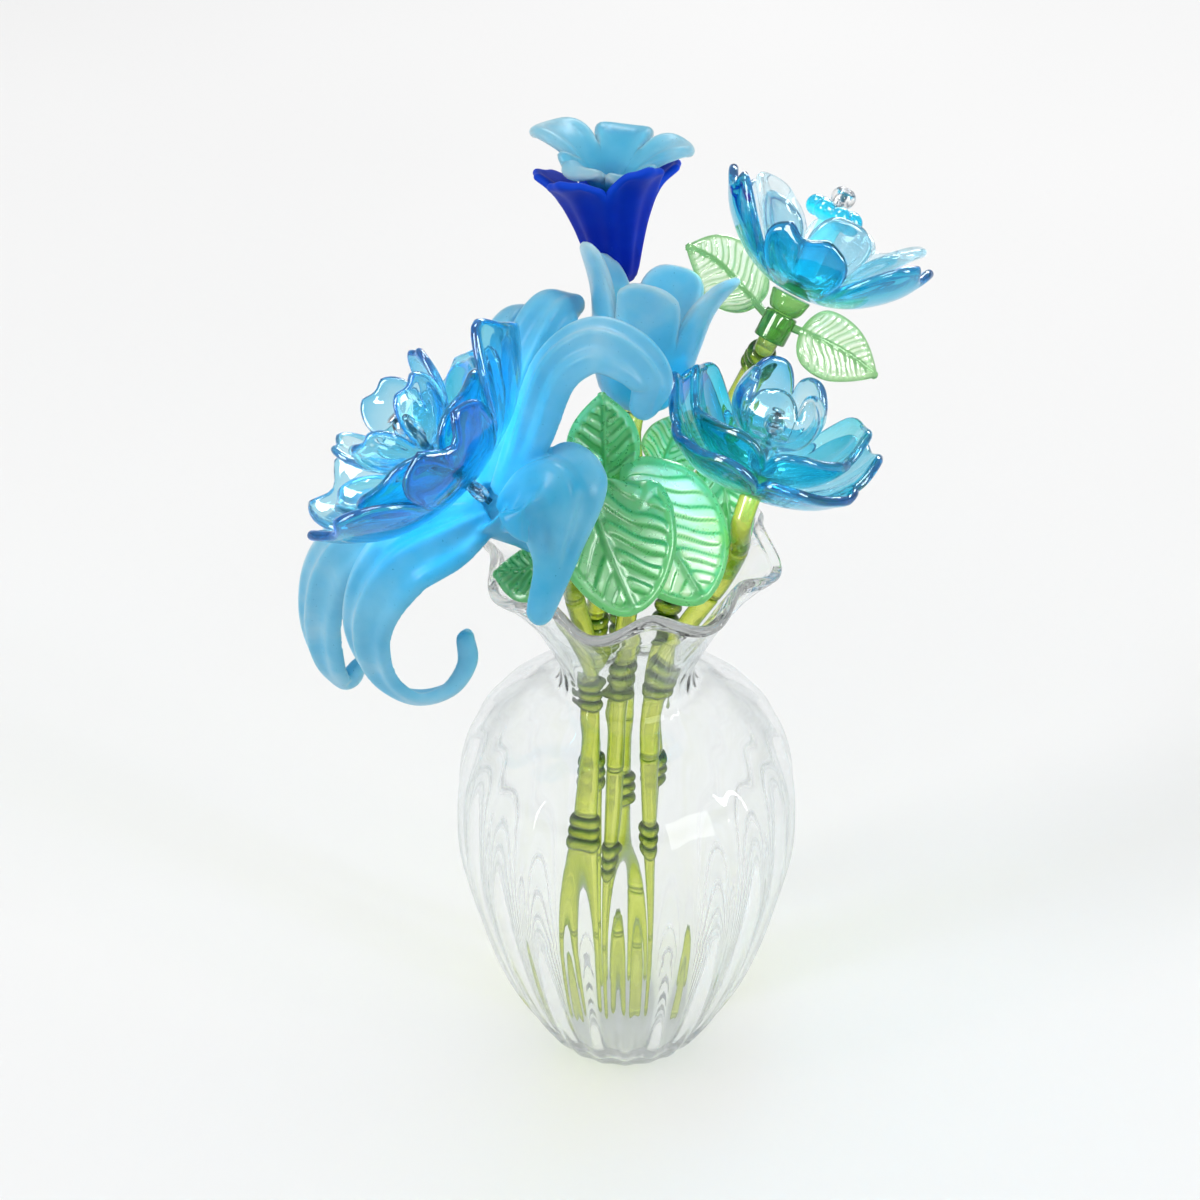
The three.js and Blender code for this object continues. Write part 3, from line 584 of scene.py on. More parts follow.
def vase():
    """One skin: under the foot, up the outside, round the rim, down the inside and over the floor."""
    count = FLUTES * FLUTE_COLUMNS
    turn = np.arange(count) * 2 * math.pi / count
    full = np.ones(count)
    wall = lambda height, inset: wall_point(full * height, turn, full * inset)
    circle = lambda r, z: np.stack([r * np.sin(turn), -r * np.cos(turn), full * z], 1)
    outer = [wall(height, 0) for height in np.linspace(WALL_FOOT, LIP_START, 160)]
    inner = [wall(height, VASE_WALL) for height in np.linspace(LIP_START, INNER_FOOT, 120)]
    across = wall(VASE_HEIGHT - 1.2, VASE_WALL / 2)
    up = unit(across - wall(VASE_HEIGHT - 4, VASE_WALL / 2))
    out = unit(outer[-1] - inner[0])
    lip = []
    for a in np.radians(np.linspace(-50, 230, 15)):
        lip.append(across + LIP_RADIUS * (out * math.cos(a) + up * math.sin(a)))
    foot = [circle(r, 0.0) for r in FOOT_RADII]
    inside = [circle(r, z) for r, z in FLOOR_CURVE]
    shape = loft([*foot, *outer, *lip, *inner, *inside], (0, 0, 0), (0, 0, VASE_FLOOR))
    # Near the rim the tone is taken below zero, so the glass's painted edge shade leaves the rim clear.
    tone = -step_up(VASE_HEIGHT - 5, LIP_START, shape[0][:, 2])
    return piece("vase_blown", ["vase"], "clear_glass", shape, tone)


# ---- stems ----


def strand(path):
    """A centripetal curve through a path, as a function of the distance along it, and its length."""
    p = np.array(path, float)
    p = np.vstack([2 * p[0] - p[1], p, 2 * p[-1] - p[-2]])
    t = np.linspace(0, 1, 60, endpoint=False)[:, None]
    points = []
    for a, b, c, d in zip(p, p[1:], p[2:], p[3:]):
        da, db, dc = (math.sqrt(np.linalg.norm(v - u)) for u, v in ((a, b), (b, c), (c, d)))
        m1 = ((b - a) / da - (c - a) / (da + db) + (c - b) / db) * db
        m2 = ((c - b) / db - (d - b) / (db + dc) + (d - c) / dc) * db
        curve = (-3 * b + 3 * c - 2 * m1 - m2) * t**2
        points.append(b + m1 * t + curve + (2 * b - 2 * c + m1 + m2) * t**3)
    points = np.vstack([*points, [p[-2]]])
    run = np.concatenate([[0], np.cumsum(np.linalg.norm(np.diff(points, axis=0), axis=1))])
    read = lambda s: np.stack([np.interp(s, run, points[:, i]) for i in range(3)], -1)
    return read, run[-1]


def bead_profile(start, end, radius, shoulder, steps):
    """(distance, radius) of one bead, round at both ends."""
    rows = []
    for a in np.linspace(0, math.pi / 2, steps):
        distance = start + shoulder * (1 - math.cos(a))
        rows.append((distance, WAIST_RADIUS + (radius - WAIST_RADIUS) * math.sin(a)))
    back = [(start + end - distance, r) for distance, r in rows[::-1]]
    return rows + back[1 if 2 * shoulder >= end - start - 1e-6 else 0 :]


def tube_beads(start, end):
    """(distance, radius, tone) of a row of tube beads, with painted shade at their joints."""
    count = max(1, round((end - start) / TUBE_LENGTH))
    stations = []
    for i in range(count):
        a, b = (start + (end - start) * (i + k) / count for k in (0, 1))
        tube = bead_profile(a + BEAD_JOINT, b - BEAD_JOINT, TUBE_RADIUS, min(0.6, (b - a) / 5), 6)
        tube += [(distance, TUBE_RADIUS) for distance in np.arange(a + 2, b - 1.5, 1.5)]
        for distance, r in tube:
            # Painted shade: the tone drops where the bead narrows into a joint.
            joint_shaded_tone = 0.05 + 0.95 * step_up(WAIST_RADIUS, 0.95 * TUBE_RADIUS, r)
            stations.append((distance, r, float(joint_shaded_tone)))
    return stations


def seed_beads(start):
    """(distance, radius, tone) of a cluster of seed beads, with painted shade where they narrow to their
    joints.
    """
    stations = []
    for i in range(SEEDS):
        a = start + i * SEED_LENGTH
        b = a + SEED_LENGTH
        seed = bead_profile(a + BEAD_JOINT, b - BEAD_JOINT, SEED_RADIUS, SEED_LENGTH / 2 - BEAD_JOINT, 7)
        # Painted shade: the tone drops where each seed bead narrows towards its joint.
        stations += [(distance, r, float(0.75 * step_up(1.5, SEED_RADIUS, r))) for distance, r in seed]
    return stations


def stem(name, path, clusters):
    """Tube beads along a path, with a cluster of seed beads at each of these distances."""
    read, length = strand(path)
    stations = []
    at = 0
    for cluster in clusters:
        stations += tube_beads(at, cluster) + seed_beads(cluster)
        at = cluster + SEEDS * SEED_LENGTH
    stations = sorted(set(stations + tube_beads(at, length)))
    rings, tones = [], []
    a = np.arange(STEM_SIDES) * 2 * math.pi / STEM_SIDES
    for distance, radius, tone in stations:
        tangent = unit(read(min(length, distance + 0.8)) - read(max(0, distance - 0.8)))
        across = unit(np.array([1, 0, 0]) - tangent * tangent[0])
        forth = np.cross(tangent, across)
        rings.append(read(distance) + radius * (np.cos(a)[:, None] * across + np.sin(a)[:, None] * forth))
        tones += [tone] * STEM_SIDES
    shape = loft(rings, read(0), read(length))
    return piece(f"{name}_beads", [name], "olive_bead", shape, tones + [0.1, 0.1])


def stem_end(place, run, below=0):
    """A stem's last two points, on a flower's axis, which it follows for run below the flower."""
    return on_axis(place, -below - run), on_axis(place, -below - GAP)


# Each stem's path, and where along it its clusters of seed beads start
STEMS = {
    "stem_lily": (
        [(-9, -3, STEM_FOOT), (-7.6, -4, 45), (-6.2, -3.2, 86), (-9, -9, 106), *stem_end(LILY, 5)],
        (42, 74),
    ),
    "stem_leaves": (
        [(-7, 5, STEM_FOOT), (-6.4, 3.5, 50), (-6, 2.4, 86), (-4.4, -4.5, 110), (-4, -8, 125)],
        (50, 84),
    ),
    "stem_bell": (
        [(-3.5, -3.5, STEM_FOOT), (-2.4, -2.6, 45), (-1.2, -1.2, 86), (1.8, -1.4, 115), *stem_end(BELL, 4)],
        (34, 76),
    ),
    "stem_trumpet": (
        [(-1, 7, STEM_FOOT), (-1, 6.2, 50), (-0.8, 5.4, 86), (-1, 12, 118), *stem_end(TRUMPET, 6)],
        (44, 80),
    ),
    "stem_rose_top": (
        [
            (4, 6, STEM_FOOT), (4.6, 4.6, 50), (5.6, 2.8, 86), (14.3, 11.2, 121.6), (20.4, 12, 137),
            *stem_end(ROSE_TOP, 4, CUP_BEAD_LENGTH),
        ],
        (50, 84, 136),
    ),
    "stem_rose_right": (
        [
            (3, -2.6, STEM_FOOT), (4, -3.6, 50), (5.4, -4, 86), (15.9, -5.6, 107.5), (17.9, -11, 117.5),
            *stem_end(ROSE_RIGHT, 6),
        ],
        (40, 78),
    ),
}

# ---- blossoms ----


def beside(k, p):
    """The petal next to petal k, on the side of it where p is."""
    return np.where(p < 0, k - 1, k + 1) % PETALS


@dataclass
class Blossom:
    """A moulded blossom turned round +Z: a shell whose edge is cut into petals.

    notch, shift, reach, rise, twist and the petals' tint, which is dye and painted shade, are one number for
    all petals or one for each.
    """

    profile: list  # (distance from the axis, height) of the shell's middle, from its hole outwards
    hole: float = HOLE_RADIUS
    thickness: float = 1.4
    lip: float = 0.15  # how much thicker the rim is than the shell
    cleft: float = 0.6  # how far out the petals are joined, as a share of their length
    notch: object = 0  # depth of the dent in the petal's tip, as a share of its length
    scallop: float = 0  # depth of the waves along the petal's edge, as a share of its length
    lobe: tuple = (2.6, 0.55)  # how square and how blunt the petal's outline is
    camber: float = 0  # how much higher the petal's edges are than its midrib
    turn: float = 0  # degrees from the front to the first petal
    shift: object = 0  # degrees that the petal stands away from its even place
    reach: object = 1  # the petal's length, 1 for the full profile
    rise: object = 0  # how much the petal's tip is lifted above the profile
    twist: object = 0  # how far the petal is turned about its midrib, as the lift of its one side
    foot: tuple = None  # (radius, length) of a neck under the shell
    closed: bool = False  # whether the hole is filled
    ribs: tuple = None  # (count, height) of soft ribs on the outside of each petal
    # The petals' tint is partly their dye and partly painted shade: on the outer layers the petals at the
    # front are given a deeper tint than those at the back.
    dye_and_shade: object = 1  # how strongly the petal is tinted
    body: float = 0.28  # how much of the tint is there all over
    # The share near the rim is partly dye and partly painted shade along the rim's outline.
    tips: float = 0.42  # how much of it grows with the distance to the middle; the rest is near the rim

    def __post_init__(self):
        self.profile = [(self.hole, 0), *self.profile]
        for key in ("notch", "shift", "reach", "rise", "twist", "dye_and_shade"):
            setattr(self, key, np.broadcast_to(np.array(getattr(self, key), float), PETALS))

    def evened(self, values, k, p, start):
        """The petals' values, evened out with the next petal's from start across to the edge."""
        mixed = 0.5 * step_up(start, 1, np.abs(p))
        return values[k] * (1 - mixed) + values[beside(k, p)] * mixed

    def angle(self, k, p):
        """Where petal k lies at p across it, in radians from the front."""
        shift = self.shift[k] + (self.shift[beside(k, p)] - self.shift[k]) * np.abs(p) / 2
        return np.radians(self.turn + shift) + 2 * math.pi * (k + p / 2) / PETALS

    def middle(self, k, p, s):
        """The shell's middle at petal k, p from -1 to 1 across it, s of the way to the edge."""
        square, blunt = self.lobe
        lobe = np.maximum(0, 1 - np.abs(p) ** square) ** blunt
        dent = self.notch[k] * np.maximum(0, 1 - (p / 0.36) ** 2) ** 1.5
        frill = self.scallop * (0.5 - 0.5 * np.cos(4 * math.pi * p))
        t = s * (self.cleft + (1 - self.cleft) * lobe - dent - frill)
        size = 1 + (self.evened(self.reach, k, p, 0.5) - 1) * t
        radius = size * along([row[0] for row in self.profile], t)
        height = size * along([row[1] for row in self.profile], t)
        raised = self.evened(self.rise, k, p, 0.5)
        turned = self.twist[k] * np.sin(math.pi * p)
        height = height + (self.camber * p * p + raised + turned) * t * t + self.thickness / 2
        angle = self.angle(k, p)
        return np.stack([radius * np.cos(angle), radius * np.sin(angle), height], -1), t

    def neck(self, k, p):
        """Rings of the neck under the shell, from its hole outwards and up."""
        radius, length = self.foot
        angle = self.angle(k, p)
        bevel = 0.3
        outline = [
            (self.hole, -length),
            (radius - bevel, -length),
            (radius, -length + bevel),
            (radius, -0.6),
            (radius + bevel, -0.1),
        ]
        return [
            np.stack([r * np.cos(angle), r * np.sin(angle), np.full(len(angle), z)], 1) for r, z in outline
        ]

    def build(self, columns=26, rows=22):
        """The blossom as (points, faces), and each point's tone."""
        across = np.sin((-1 + 2 * np.arange(columns) / columns) * math.pi / 2)
        k = np.repeat(np.arange(PETALS), columns)
        p = np.tile(across, PETALS)
        s = 1 - (1 - np.linspace(0, 1, rows)) ** 1.8
        grid, t = self.middle(k[None, :], p[None, :], s[:, None])
        fine = np.sin(np.linspace(-1, 1, columns * 6, endpoint=False) * math.pi / 2)
        petal = np.repeat(np.arange(PETALS), len(fine))
        edge, _ = self.middle(petal, np.tile(fine, PETALS), np.ones(len(petal)))
        gap = nearest(grid, edge)
        gap[-1] = 0
        half = rim_depth(gap, self.thickness, self.lip)
        normal = ring_normals(grid)
        if normal[0, :, 2].mean() < 0:
            normal = -normal
        outer, inner = half, half
        if self.ribs:
            count, height = self.ribs
            wave = np.cos(count * math.pi * p)[None, :] * step_up(0.12, 0.4, t) * step_up(0.2, 1.4, gap)
            outer = half + height * 0.5 * wave
            inner = half - height * 0.35 * wave
        below = grid - normal * outer[..., None]
        above = grid + normal * inner[..., None]
        # A deeper band along the rim: partly the glass's dye, partly painted shade for the dark outline of
        # the rounded rim.
        rim_dye_and_shade = (1 - self.body - self.tips) * np.exp(-gap / 0.8)
        tone = self.evened(self.dye_and_shade, k, p, 0.6)[None, :] * (self.body + self.tips * t + rim_dye_and_shade)
        rings = self.neck(k, p) if self.foot else []
        tones = [np.full(len(p), 0.1) for _ in rings]
        first = 0
        while self.foot and np.hypot(below[first, :, 0], below[first, :, 1]).min() < self.foot[0] + 0.6:
            first += 1
        rings += [*below[first:-1], grid[-1], *above[-2::-1]]
        tones += [*tone[first:-1], tone[-1], *tone[-2::-1]]
        if self.closed:
            return loft(rings, (0, 0, 0), (0, 0, self.thickness)), np.concatenate([*tones, [0.1, 0.1]])
        return loft(rings), np.concatenate(tones)


def set_blossom(name, slot, blossom, place, lift=0, **fine):
    shape, tone = blossom.build(**fine)
    return piece(f"{name}_moulded", [name], slot, placed(shape, place, lift), tone)


def bead(radius, length, sides=40):
    """A round bead with a hole along +Z."""
    half = length / 2
    start = math.asin(min(1, HOLE_RADIUS / radius))
    end = half * math.cos(start)
    turns = np.linspace(start, math.pi - start, 22)[1:-1]
    curve = [(radius * math.sin(a), -half * math.cos(a)) for a in turns]
    return lathe([(HOLE_RADIUS, -end), *curve, (HOLE_RADIUS, end)], sides)


def pin(start, end):
    """A pin along +Z with a round head."""
    head = 0.6
    brim = HOLE_RADIUS + 0.25
    outline = [(0, start), (PIN_RADIUS, start), (PIN_RADIUS, end - head), (brim, end - head)]
    for a in np.linspace(0, math.pi / 2, 7)[:-1]:
        outline.append((brim * math.cos(a), end - head * 0.5 + head * 0.5 * math.sin(a)))
    return lathe([*outline, (0, end)], 24)


def wire_coil(low, high, turns):
    """A coil of wire wound on a pin, from one height to another."""
    steps = np.linspace(0, 1, turns * 20)
    angle = steps * turns * 2 * math.pi
    ride = PIN_RADIUS + WIRE_RADIUS + 0.02
    centre = np.stack([ride * np.cos(angle), ride * np.sin(angle), low + (high - low) * steps], 1)
    tangent = unit(np.gradient(centre, axis=0))
    out = unit(centre * (1, 1, 0))
    up = np.cross(tangent, out)
    a = np.arange(8) * math.pi / 4
    rings = []
    for i in range(len(steps)):
        rings.append(centre[i] + WIRE_RADIUS * (np.cos(a)[:, None] * out[i] + np.sin(a)[:, None] * up[i]))
    return loft(rings, centre[0], centre[-1])


def rose(name, place, layers, slots, start, bead_size, head, coil=None, spacer=None):
    """A rose: its layers, a spacer and a round bead on a pin that begins at the height start.

    bead_size (radius, length); head is how far the pin's head stands above the bead.
    """
    lift = 0
    for layer, blossom in layers.items():
        lift += blossom.foot[1] if blossom.foot else 0
        set_blossom(f"{name}_{layer}", slots[layer], blossom, place, lift)
        lift += blossom.thickness + GAP + 0.2
    if spacer:
        lift = spacer(lift)
    radius, length = bead_size
    shape = placed(bead(radius, length), place, lift + length / 2)
    piece(f"{name}_bead_round", [f"{name}_bead"], "clear_acrylic", shape, 0)
    shape = pin(start, lift + length + head)
    if coil:
        shape = merged([shape, wire_coil(*coil)])
    piece(f"{name}_pin_headed", [f"{name}_pin"], "pin_steel", placed(shape, place))


ROSE_SLOTS = {"outer": "deep_blue_gloss", "middle": "teal_gloss", "inner": "aqua_gloss"}
TOP_SLOTS = {"outer": "deep_blue_gloss", "middle": "smoke_blue_gloss"}
ROSE_RIGHT_LAYERS = {
    "outer": Blossom(
        [(6, 0.3), (11.4, 3), (15.4, 7.6), (17.8, 12.6)],
        cleft=0.66, notch=0.06, camber=0.8, turn=25,
        reach=[1, 1, 0.8, 1, 1], rise=[-8, -2, -3, 0.6, -6.4], dye_and_shade=[1, 0.5, 0.35, 0.9, 1],
    ),
    "middle": Blossom(
        [(4.6, 0.4), (9.4, 3.4), (12.8, 7.8), (14.8, 13)],
        cleft=0.66, notch=0.02, camber=0.8, turn=25,
        reach=[1, 1, 0.72, 1, 1], rise=[-5.4, -1, -3, 0.4, -4.4], dye_and_shade=[1, 0.6, 0.4, 1, 1],
    ),
    "inner": Blossom(
        [(4.2, 0.5), (6.6, 3.2), (7, 7), (5.2, 11)],
        thickness=1.3, cleft=0.74, turn=50, foot=(2, 3.6),
        reach=[0.86, 1, 1.12, 1, 0.84], dye_and_shade=[0.4, 0.6, 1, 0.8, 0.5],
    ),
}
ROSE_LEFT_LAYERS = {
    "outer": Blossom(
        [(7, 0.3), (13.4, 3), (18.4, 7.8), (21.6, 13)],
        cleft=0.58, notch=[0.2, 0.02, 0.1, 0.1, 0.1], camber=1, turn=35, shift=[0, -16, -6, 0, 0],
        reach=[0.92, 1.1, 0.86, 1.06, 1.06], twist=[0, -3.6, 0, 0, 0], dye_and_shade=[1, 0.5, 0.4, 0.3, 1],
    ),
    "middle": Blossom(
        [(5, 0.4), (10.4, 3), (14.4, 6.4), (17, 10.4)],
        notch=0.03, camber=1, turn=64, reach=[0.98, 0.9, 0.9, 0.98, 1], dye_and_shade=[1, 0.8, 0.3, 0.4, 1],
    ),
    "inner": Blossom(
        [(4, 0.5), (7.2, 3.2), (9.2, 7), (10, 11.4)],
        thickness=1.2, cleft=0.5, notch=0.05, camber=0.8, turn=56, foot=(2, 3.4),
        reach=[1, 1.04, 1, 1, 0.9], dye_and_shade=[0.7, 1, 0.9, 0.5, 0.5],
    ),
}
ROSE_TOP_LAYERS = {
    "outer": Blossom(
        [(5, 0.4), (10, 2.6), (14.8, 7), (17.6, 12.6)],
        cleft=0.42, notch=0.1, camber=1.2, turn=-10, shift=[-18, -4, -4, -4, -6],
        rise=[0, 0, 0, 0, 0.6], reach=[0.82, 1.04, 1.02, 1.02, 1.04], dye_and_shade=[1, 0.9, 0.05, 0.05, 0.8],
    ),
    "middle": Blossom(
        [(4, 0.3), (7.8, 3.4), (11.8, 8), (15, 12.2)],
        thickness=1.3, cleft=0.45, camber=1, turn=2,
        reach=[0.66, 1.04, 0.9, 1, 0.8], rise=[4.2, 0.6, 0, 0, 1], dye_and_shade=[1, 0.5, 0.1, 0.1, 0.6],
    ),
}
BELL_SHAPE = Blossom(
    [(3.4, 0.4), (5.6, 2.2), (7.2, 6), (8.2, 11), (9.6, 17), (13, 22.8)],
    closed=True, cleft=0.72, lobe=(2.6, 0.6), camber=0.3, turn=5, shift=[-20, -6, 12, 4, -4],
    reach=[0.94, 1.02, 0.98, 1, 1], rise=[-0.6, 0, 0, 0, 2.6], lip=0.05, body=0.35,
)
TRUMPET_OUTER = Blossom(
    [(3, 1.2), (4.4, 6), (6.1, 11), (8.6, 15.6), (12.8, 18.6)],
    closed=True, thickness=1.2, cleft=0.8, lobe=(2, 0.9), scallop=0.02, turn=36,
    rise=[0.4, 0, 0, 0.6, -0.6], ribs=(2, 0.45), lip=0.1,
)
TRUMPET_INNER = Blossom(
    [(2.2, 2.4), (3.8, 5.2), (6.2, 8), (8.8, 10.2), (11.4, 11.3), (13.6, 11)],
    hole=HOLE_RADIUS + 0.6, cleft=0.56, lobe=(2.3, 0.6), camber=0.3, turn=36, shift=[0, -2, -14, -18, -26],
    reach=[0.5, 1, 1, 1.14, 0.6], rise=[-1, -2, -2.3, -3, -1], lip=0.4, body=0.3,
)
INNER_FLOWER = {"at": on_axis(TRUMPET, TRUMPET_INNER_LIFT), "facing": (0.05, 0.15, 0.99)}


def daisy(lift):
    """A spacer bead: a ring of round beads in one piece on a long neck. Gives the height on top."""
    beads, ring, size, neck = 7, 3.3, 1.75, 9.4
    ball = [(size * math.sin(a), -size * math.cos(a)) for a in np.linspace(0, math.pi, 15)]
    points, faces = lathe(ball, 24)
    parts = []
    for i in range(beads):
        a = 2 * math.pi * i / beads
        parts.append((points + (ring * math.cos(a), ring * math.sin(a), 1.1), faces))
    stalk = [(HOLE_RADIUS, -neck), (2, -neck), (2, 0), (3, 0.2), (3, 2), (HOLE_RADIUS, 2)]
    shape = melted(merged([*parts, lathe(stalk, 40)]), 0.25, 5)
    tone = step_up(-1, 2, shape[0][:, 2])
    shape = placed(shape, ROSE_TOP, lift + neck)
    piece("rose_top_daisy_moulded", ["rose_top_daisy"], "turquoise_gloss", shape, tone)
    return lift + neck + 2.2


def cup_bead():
    """The green cup under the top rose and the tube bead that it stands on, round the stem's end."""
    top = CUP_BEAD_LENGTH
    cup = rounded_outline([(0, 2.4), (2.5, 2.4), (3.1, 3.4), (3.6, top), (0, top)], 0.4)
    tube = rounded_outline([(1.9, -2.6), (2.7, -2.6), (2.7, 2.2), (1.9, 2.2), (1.9, -2.6)], 0.4)
    shape = placed(merged([lathe(cup, 8), lathe(tube[:-1], 32)]), ROSE_TOP, -top - GAP)
    return piece("rose_top_cup_beads", ["rose_top_cup"], "pale_green_gloss", shape, 0.45, "cup_green_gloss")


def roses():
    rose(
        "rose_right", ROSE_RIGHT, ROSE_RIGHT_LAYERS, ROSE_SLOTS,
        start=0, bead_size=(1.9, 3.6), head=GAP + 0.6, coil=(9, 12, 6),
    )
    rose(
        "rose_left", ROSE_LEFT, ROSE_LEFT_LAYERS, ROSE_SLOTS,
        start=-ROSE_LEFT_TUBE - GAP, bead_size=(1.9, 6), head=GAP + 0.3,
    )
    rose(
        "rose_top", ROSE_TOP, ROSE_TOP_LAYERS, TOP_SLOTS,
        start=0, bead_size=(2.0, 3.6), head=-0.6, spacer=daisy,
    )


def trumpet():
    """A cobalt funnel, the pale flower in it, and the wire end in that flower's throat."""
    set_blossom("trumpet_outer", "cobalt_frosted", TRUMPET_OUTER, TRUMPET, columns=40)
    set_blossom("trumpet_inner", "pale_blue_frosted", TRUMPET_INNER, INNER_FLOWER)
    piece("trumpet_pin_headed", ["trumpet_pin"], "pin_steel", placed(pin(-3, 5.4), INNER_FLOWER))


def left_tube_bead():
    """The clear tube between the lily's throat and the left rose."""
    shape = placed(bead(1.2, ROSE_LEFT_TUBE), ROSE_LEFT, -GAP - ROSE_LEFT_TUBE / 2)
    piece("rose_left_tube_bead", ["rose_left_tube"], "clear_acrylic", shape, 0)


# ---- lily ----

# Each petal's midline, its widths along that, and a point on the side that it curls towards
LILY_PETALS = [
    {
        "path": [
            (-20.3, -17, 131.5), (-15.8, -17, 143), (-11.9, -16, 153.4), (-5.9, -16, 158.2),
            (0.1, -17, 156.6), (3.6, -18, 152.6), (2.6, -18, 148.6),
        ],
        "widths": [5, 9, 9.5, 10, 9.5, 8, 6],
        "inside": (-4.7, -8, 143),
    },
    {
        "path": [
            (-20.9, -14, 130.7), (-18, -4.8, 137), (-14.7, 1.2, 146.2), (-11.6, 6.2, 151.4),
            (-8.8, 12.2, 148.9),
        ],
        "widths": [5, 9, 11, 9, 4],
        "inside": (-13.7, 17, 137),
    },
    {
        "path": [
            (-22, -14, 130.7), (-21.8, -4, 136.5), (-20.4, 4, 144.5), (-18, 12, 146.7), (-15.4, 17, 144),
        ],
        "widths": [5, 8, 9, 7, 3.5],
        "inside": (-17, 16, 134),
    },
    {
        "path": [
            (-19.5, -19, 129.8), (-15, -23, 136.6), (-11.2, -26, 137.4), (-11.4, -28, 127),
            (-13.9, -30, 118),
        ],
        "widths": [8, 18, 19, 8, 4.6],
        "inside": (-17.6, -12, 115.2),
    },
    {
        "path": [
            (-22.2, -19, 128.7), (-28.9, -22, 127), (-36, -23, 123.7), (-41.1, -23, 116.2),
            (-42.7, -22, 107.5), (-40.6, -20, 97.9), (-35.2, -19, 92.6), (-29.4, -18, 93.7),
            (-26.3, -18, 99), (-26.5, -18, 103.9),
        ],
        "widths": [6, 12, 14, 13, 11, 8.5, 6.5, 4.6, 4, 3.4],
        "inside": (-32.7, -12, 103),
    },
    {
        "path": [
            (-23.5, -17, 129.3), (-33.3, -13, 124.4), (-43.5, -9, 118.7), (-49.9, -6, 109.7),
            (-52.4, -4, 98), (-51.4, -3, 87.7), (-48.5, -2, 82.6), (-45.8, -2, 86.3),
        ],
        "widths": [6, 11, 13, 13, 11, 8.5, 5, 3],
        "inside": (-44.4, 4, 92),
    },
]


def ribbon(path, widths, inside, fold=0.2, thickness=1.6, steps=90, across=30, pleats=0.8):
    """A round-edged ribbon along a path, folded along its midrib, pleated, with a round tip."""
    x = np.sin(np.linspace(-1, 1, across) * math.pi / 2)
    tip_steps = 10
    stations = [(t, 0.0) for t in np.linspace(0, 1, steps)]
    stations += [(1.0, a) for a in np.linspace(0, math.pi / 2, tip_steps + 1)[1:-1]]
    rings = []
    for t, a in stations:
        at = along(path, t)
        tangent = unit(along(path, min(1, t + 0.01)) - along(path, max(0, t - 0.01)))
        normal = at - np.array(inside, float)
        normal = unit(normal - tangent * normal.dot(tangent))
        side = np.cross(tangent, normal)
        width = along(widths, t)
        at = at + tangent * 0.5 * width * math.sin(a)
        full = thickness * (1 + 0.5 * step_up(7, 3.5, width))
        flat = step_up(6, 11, width)
        pleat = pleats * flat * np.cos(2.5 * math.pi * x + 1.5 * math.sin(5 * t)) * (1 - x * x)
        width = width * math.cos(a)
        crest = fold * width * (0.5 - np.abs(x) ** 1.5) + pleat
        edge = np.clip((1 - np.abs(x)) * width / 2 / (0.5 * full), 0, 1)
        half = 0.5 * full * np.sqrt(1 - (1 - edge) ** 2) * max(0.25, math.cos(a) ** 0.5)
        base = at + np.outer(x * width / 2, side)
        top = base + np.outer(crest + half, normal)
        bottom = base + np.outer(crest - half, normal)
        rings.append(np.concatenate([top, bottom[-2:0:-1]]))
    last = along(path, 1.0)
    tangent = unit(last - along(path, 0.99))
    return loft(rings, rings[0].mean(0), last + tangent * 0.51 * along(widths, 1.0))


def lily():
    front, side, _ = basis(LILY)
    a = np.arange(48) * 2 * math.pi / 48
    round_axis = np.cos(a)[:, None] * front + np.sin(a)[:, None] * side
    throat = [(2.3, 0), (3.2, 4), (4.6, 8), (6, LILY_THROAT), (4.8, LILY_THROAT - 0.4), (3, THROAT_FLOOR)]
    rings = [on_axis(LILY, z) + r * round_axis for r, z in throat]
    cone = loft(rings, on_axis(LILY, 0), on_axis(LILY, THROAT_FLOOR))
    shape = melted(merged([cone, *(ribbon(**petal) for petal in LILY_PETALS)]), 0.3, 14)
    away = np.linalg.norm(shape[0] - on_axis(LILY, LILY_THROAT), axis=1)
    # The tone grows paler away from the throat: painted shade deepens the throat, and a painted sheen pales
    # the petal ends.
    return piece("lily_moulded", ["lily"], "blue_frosted", shape, 0.34 + 0.24 * step_up(4, 34, away))


# ---- leaves ----


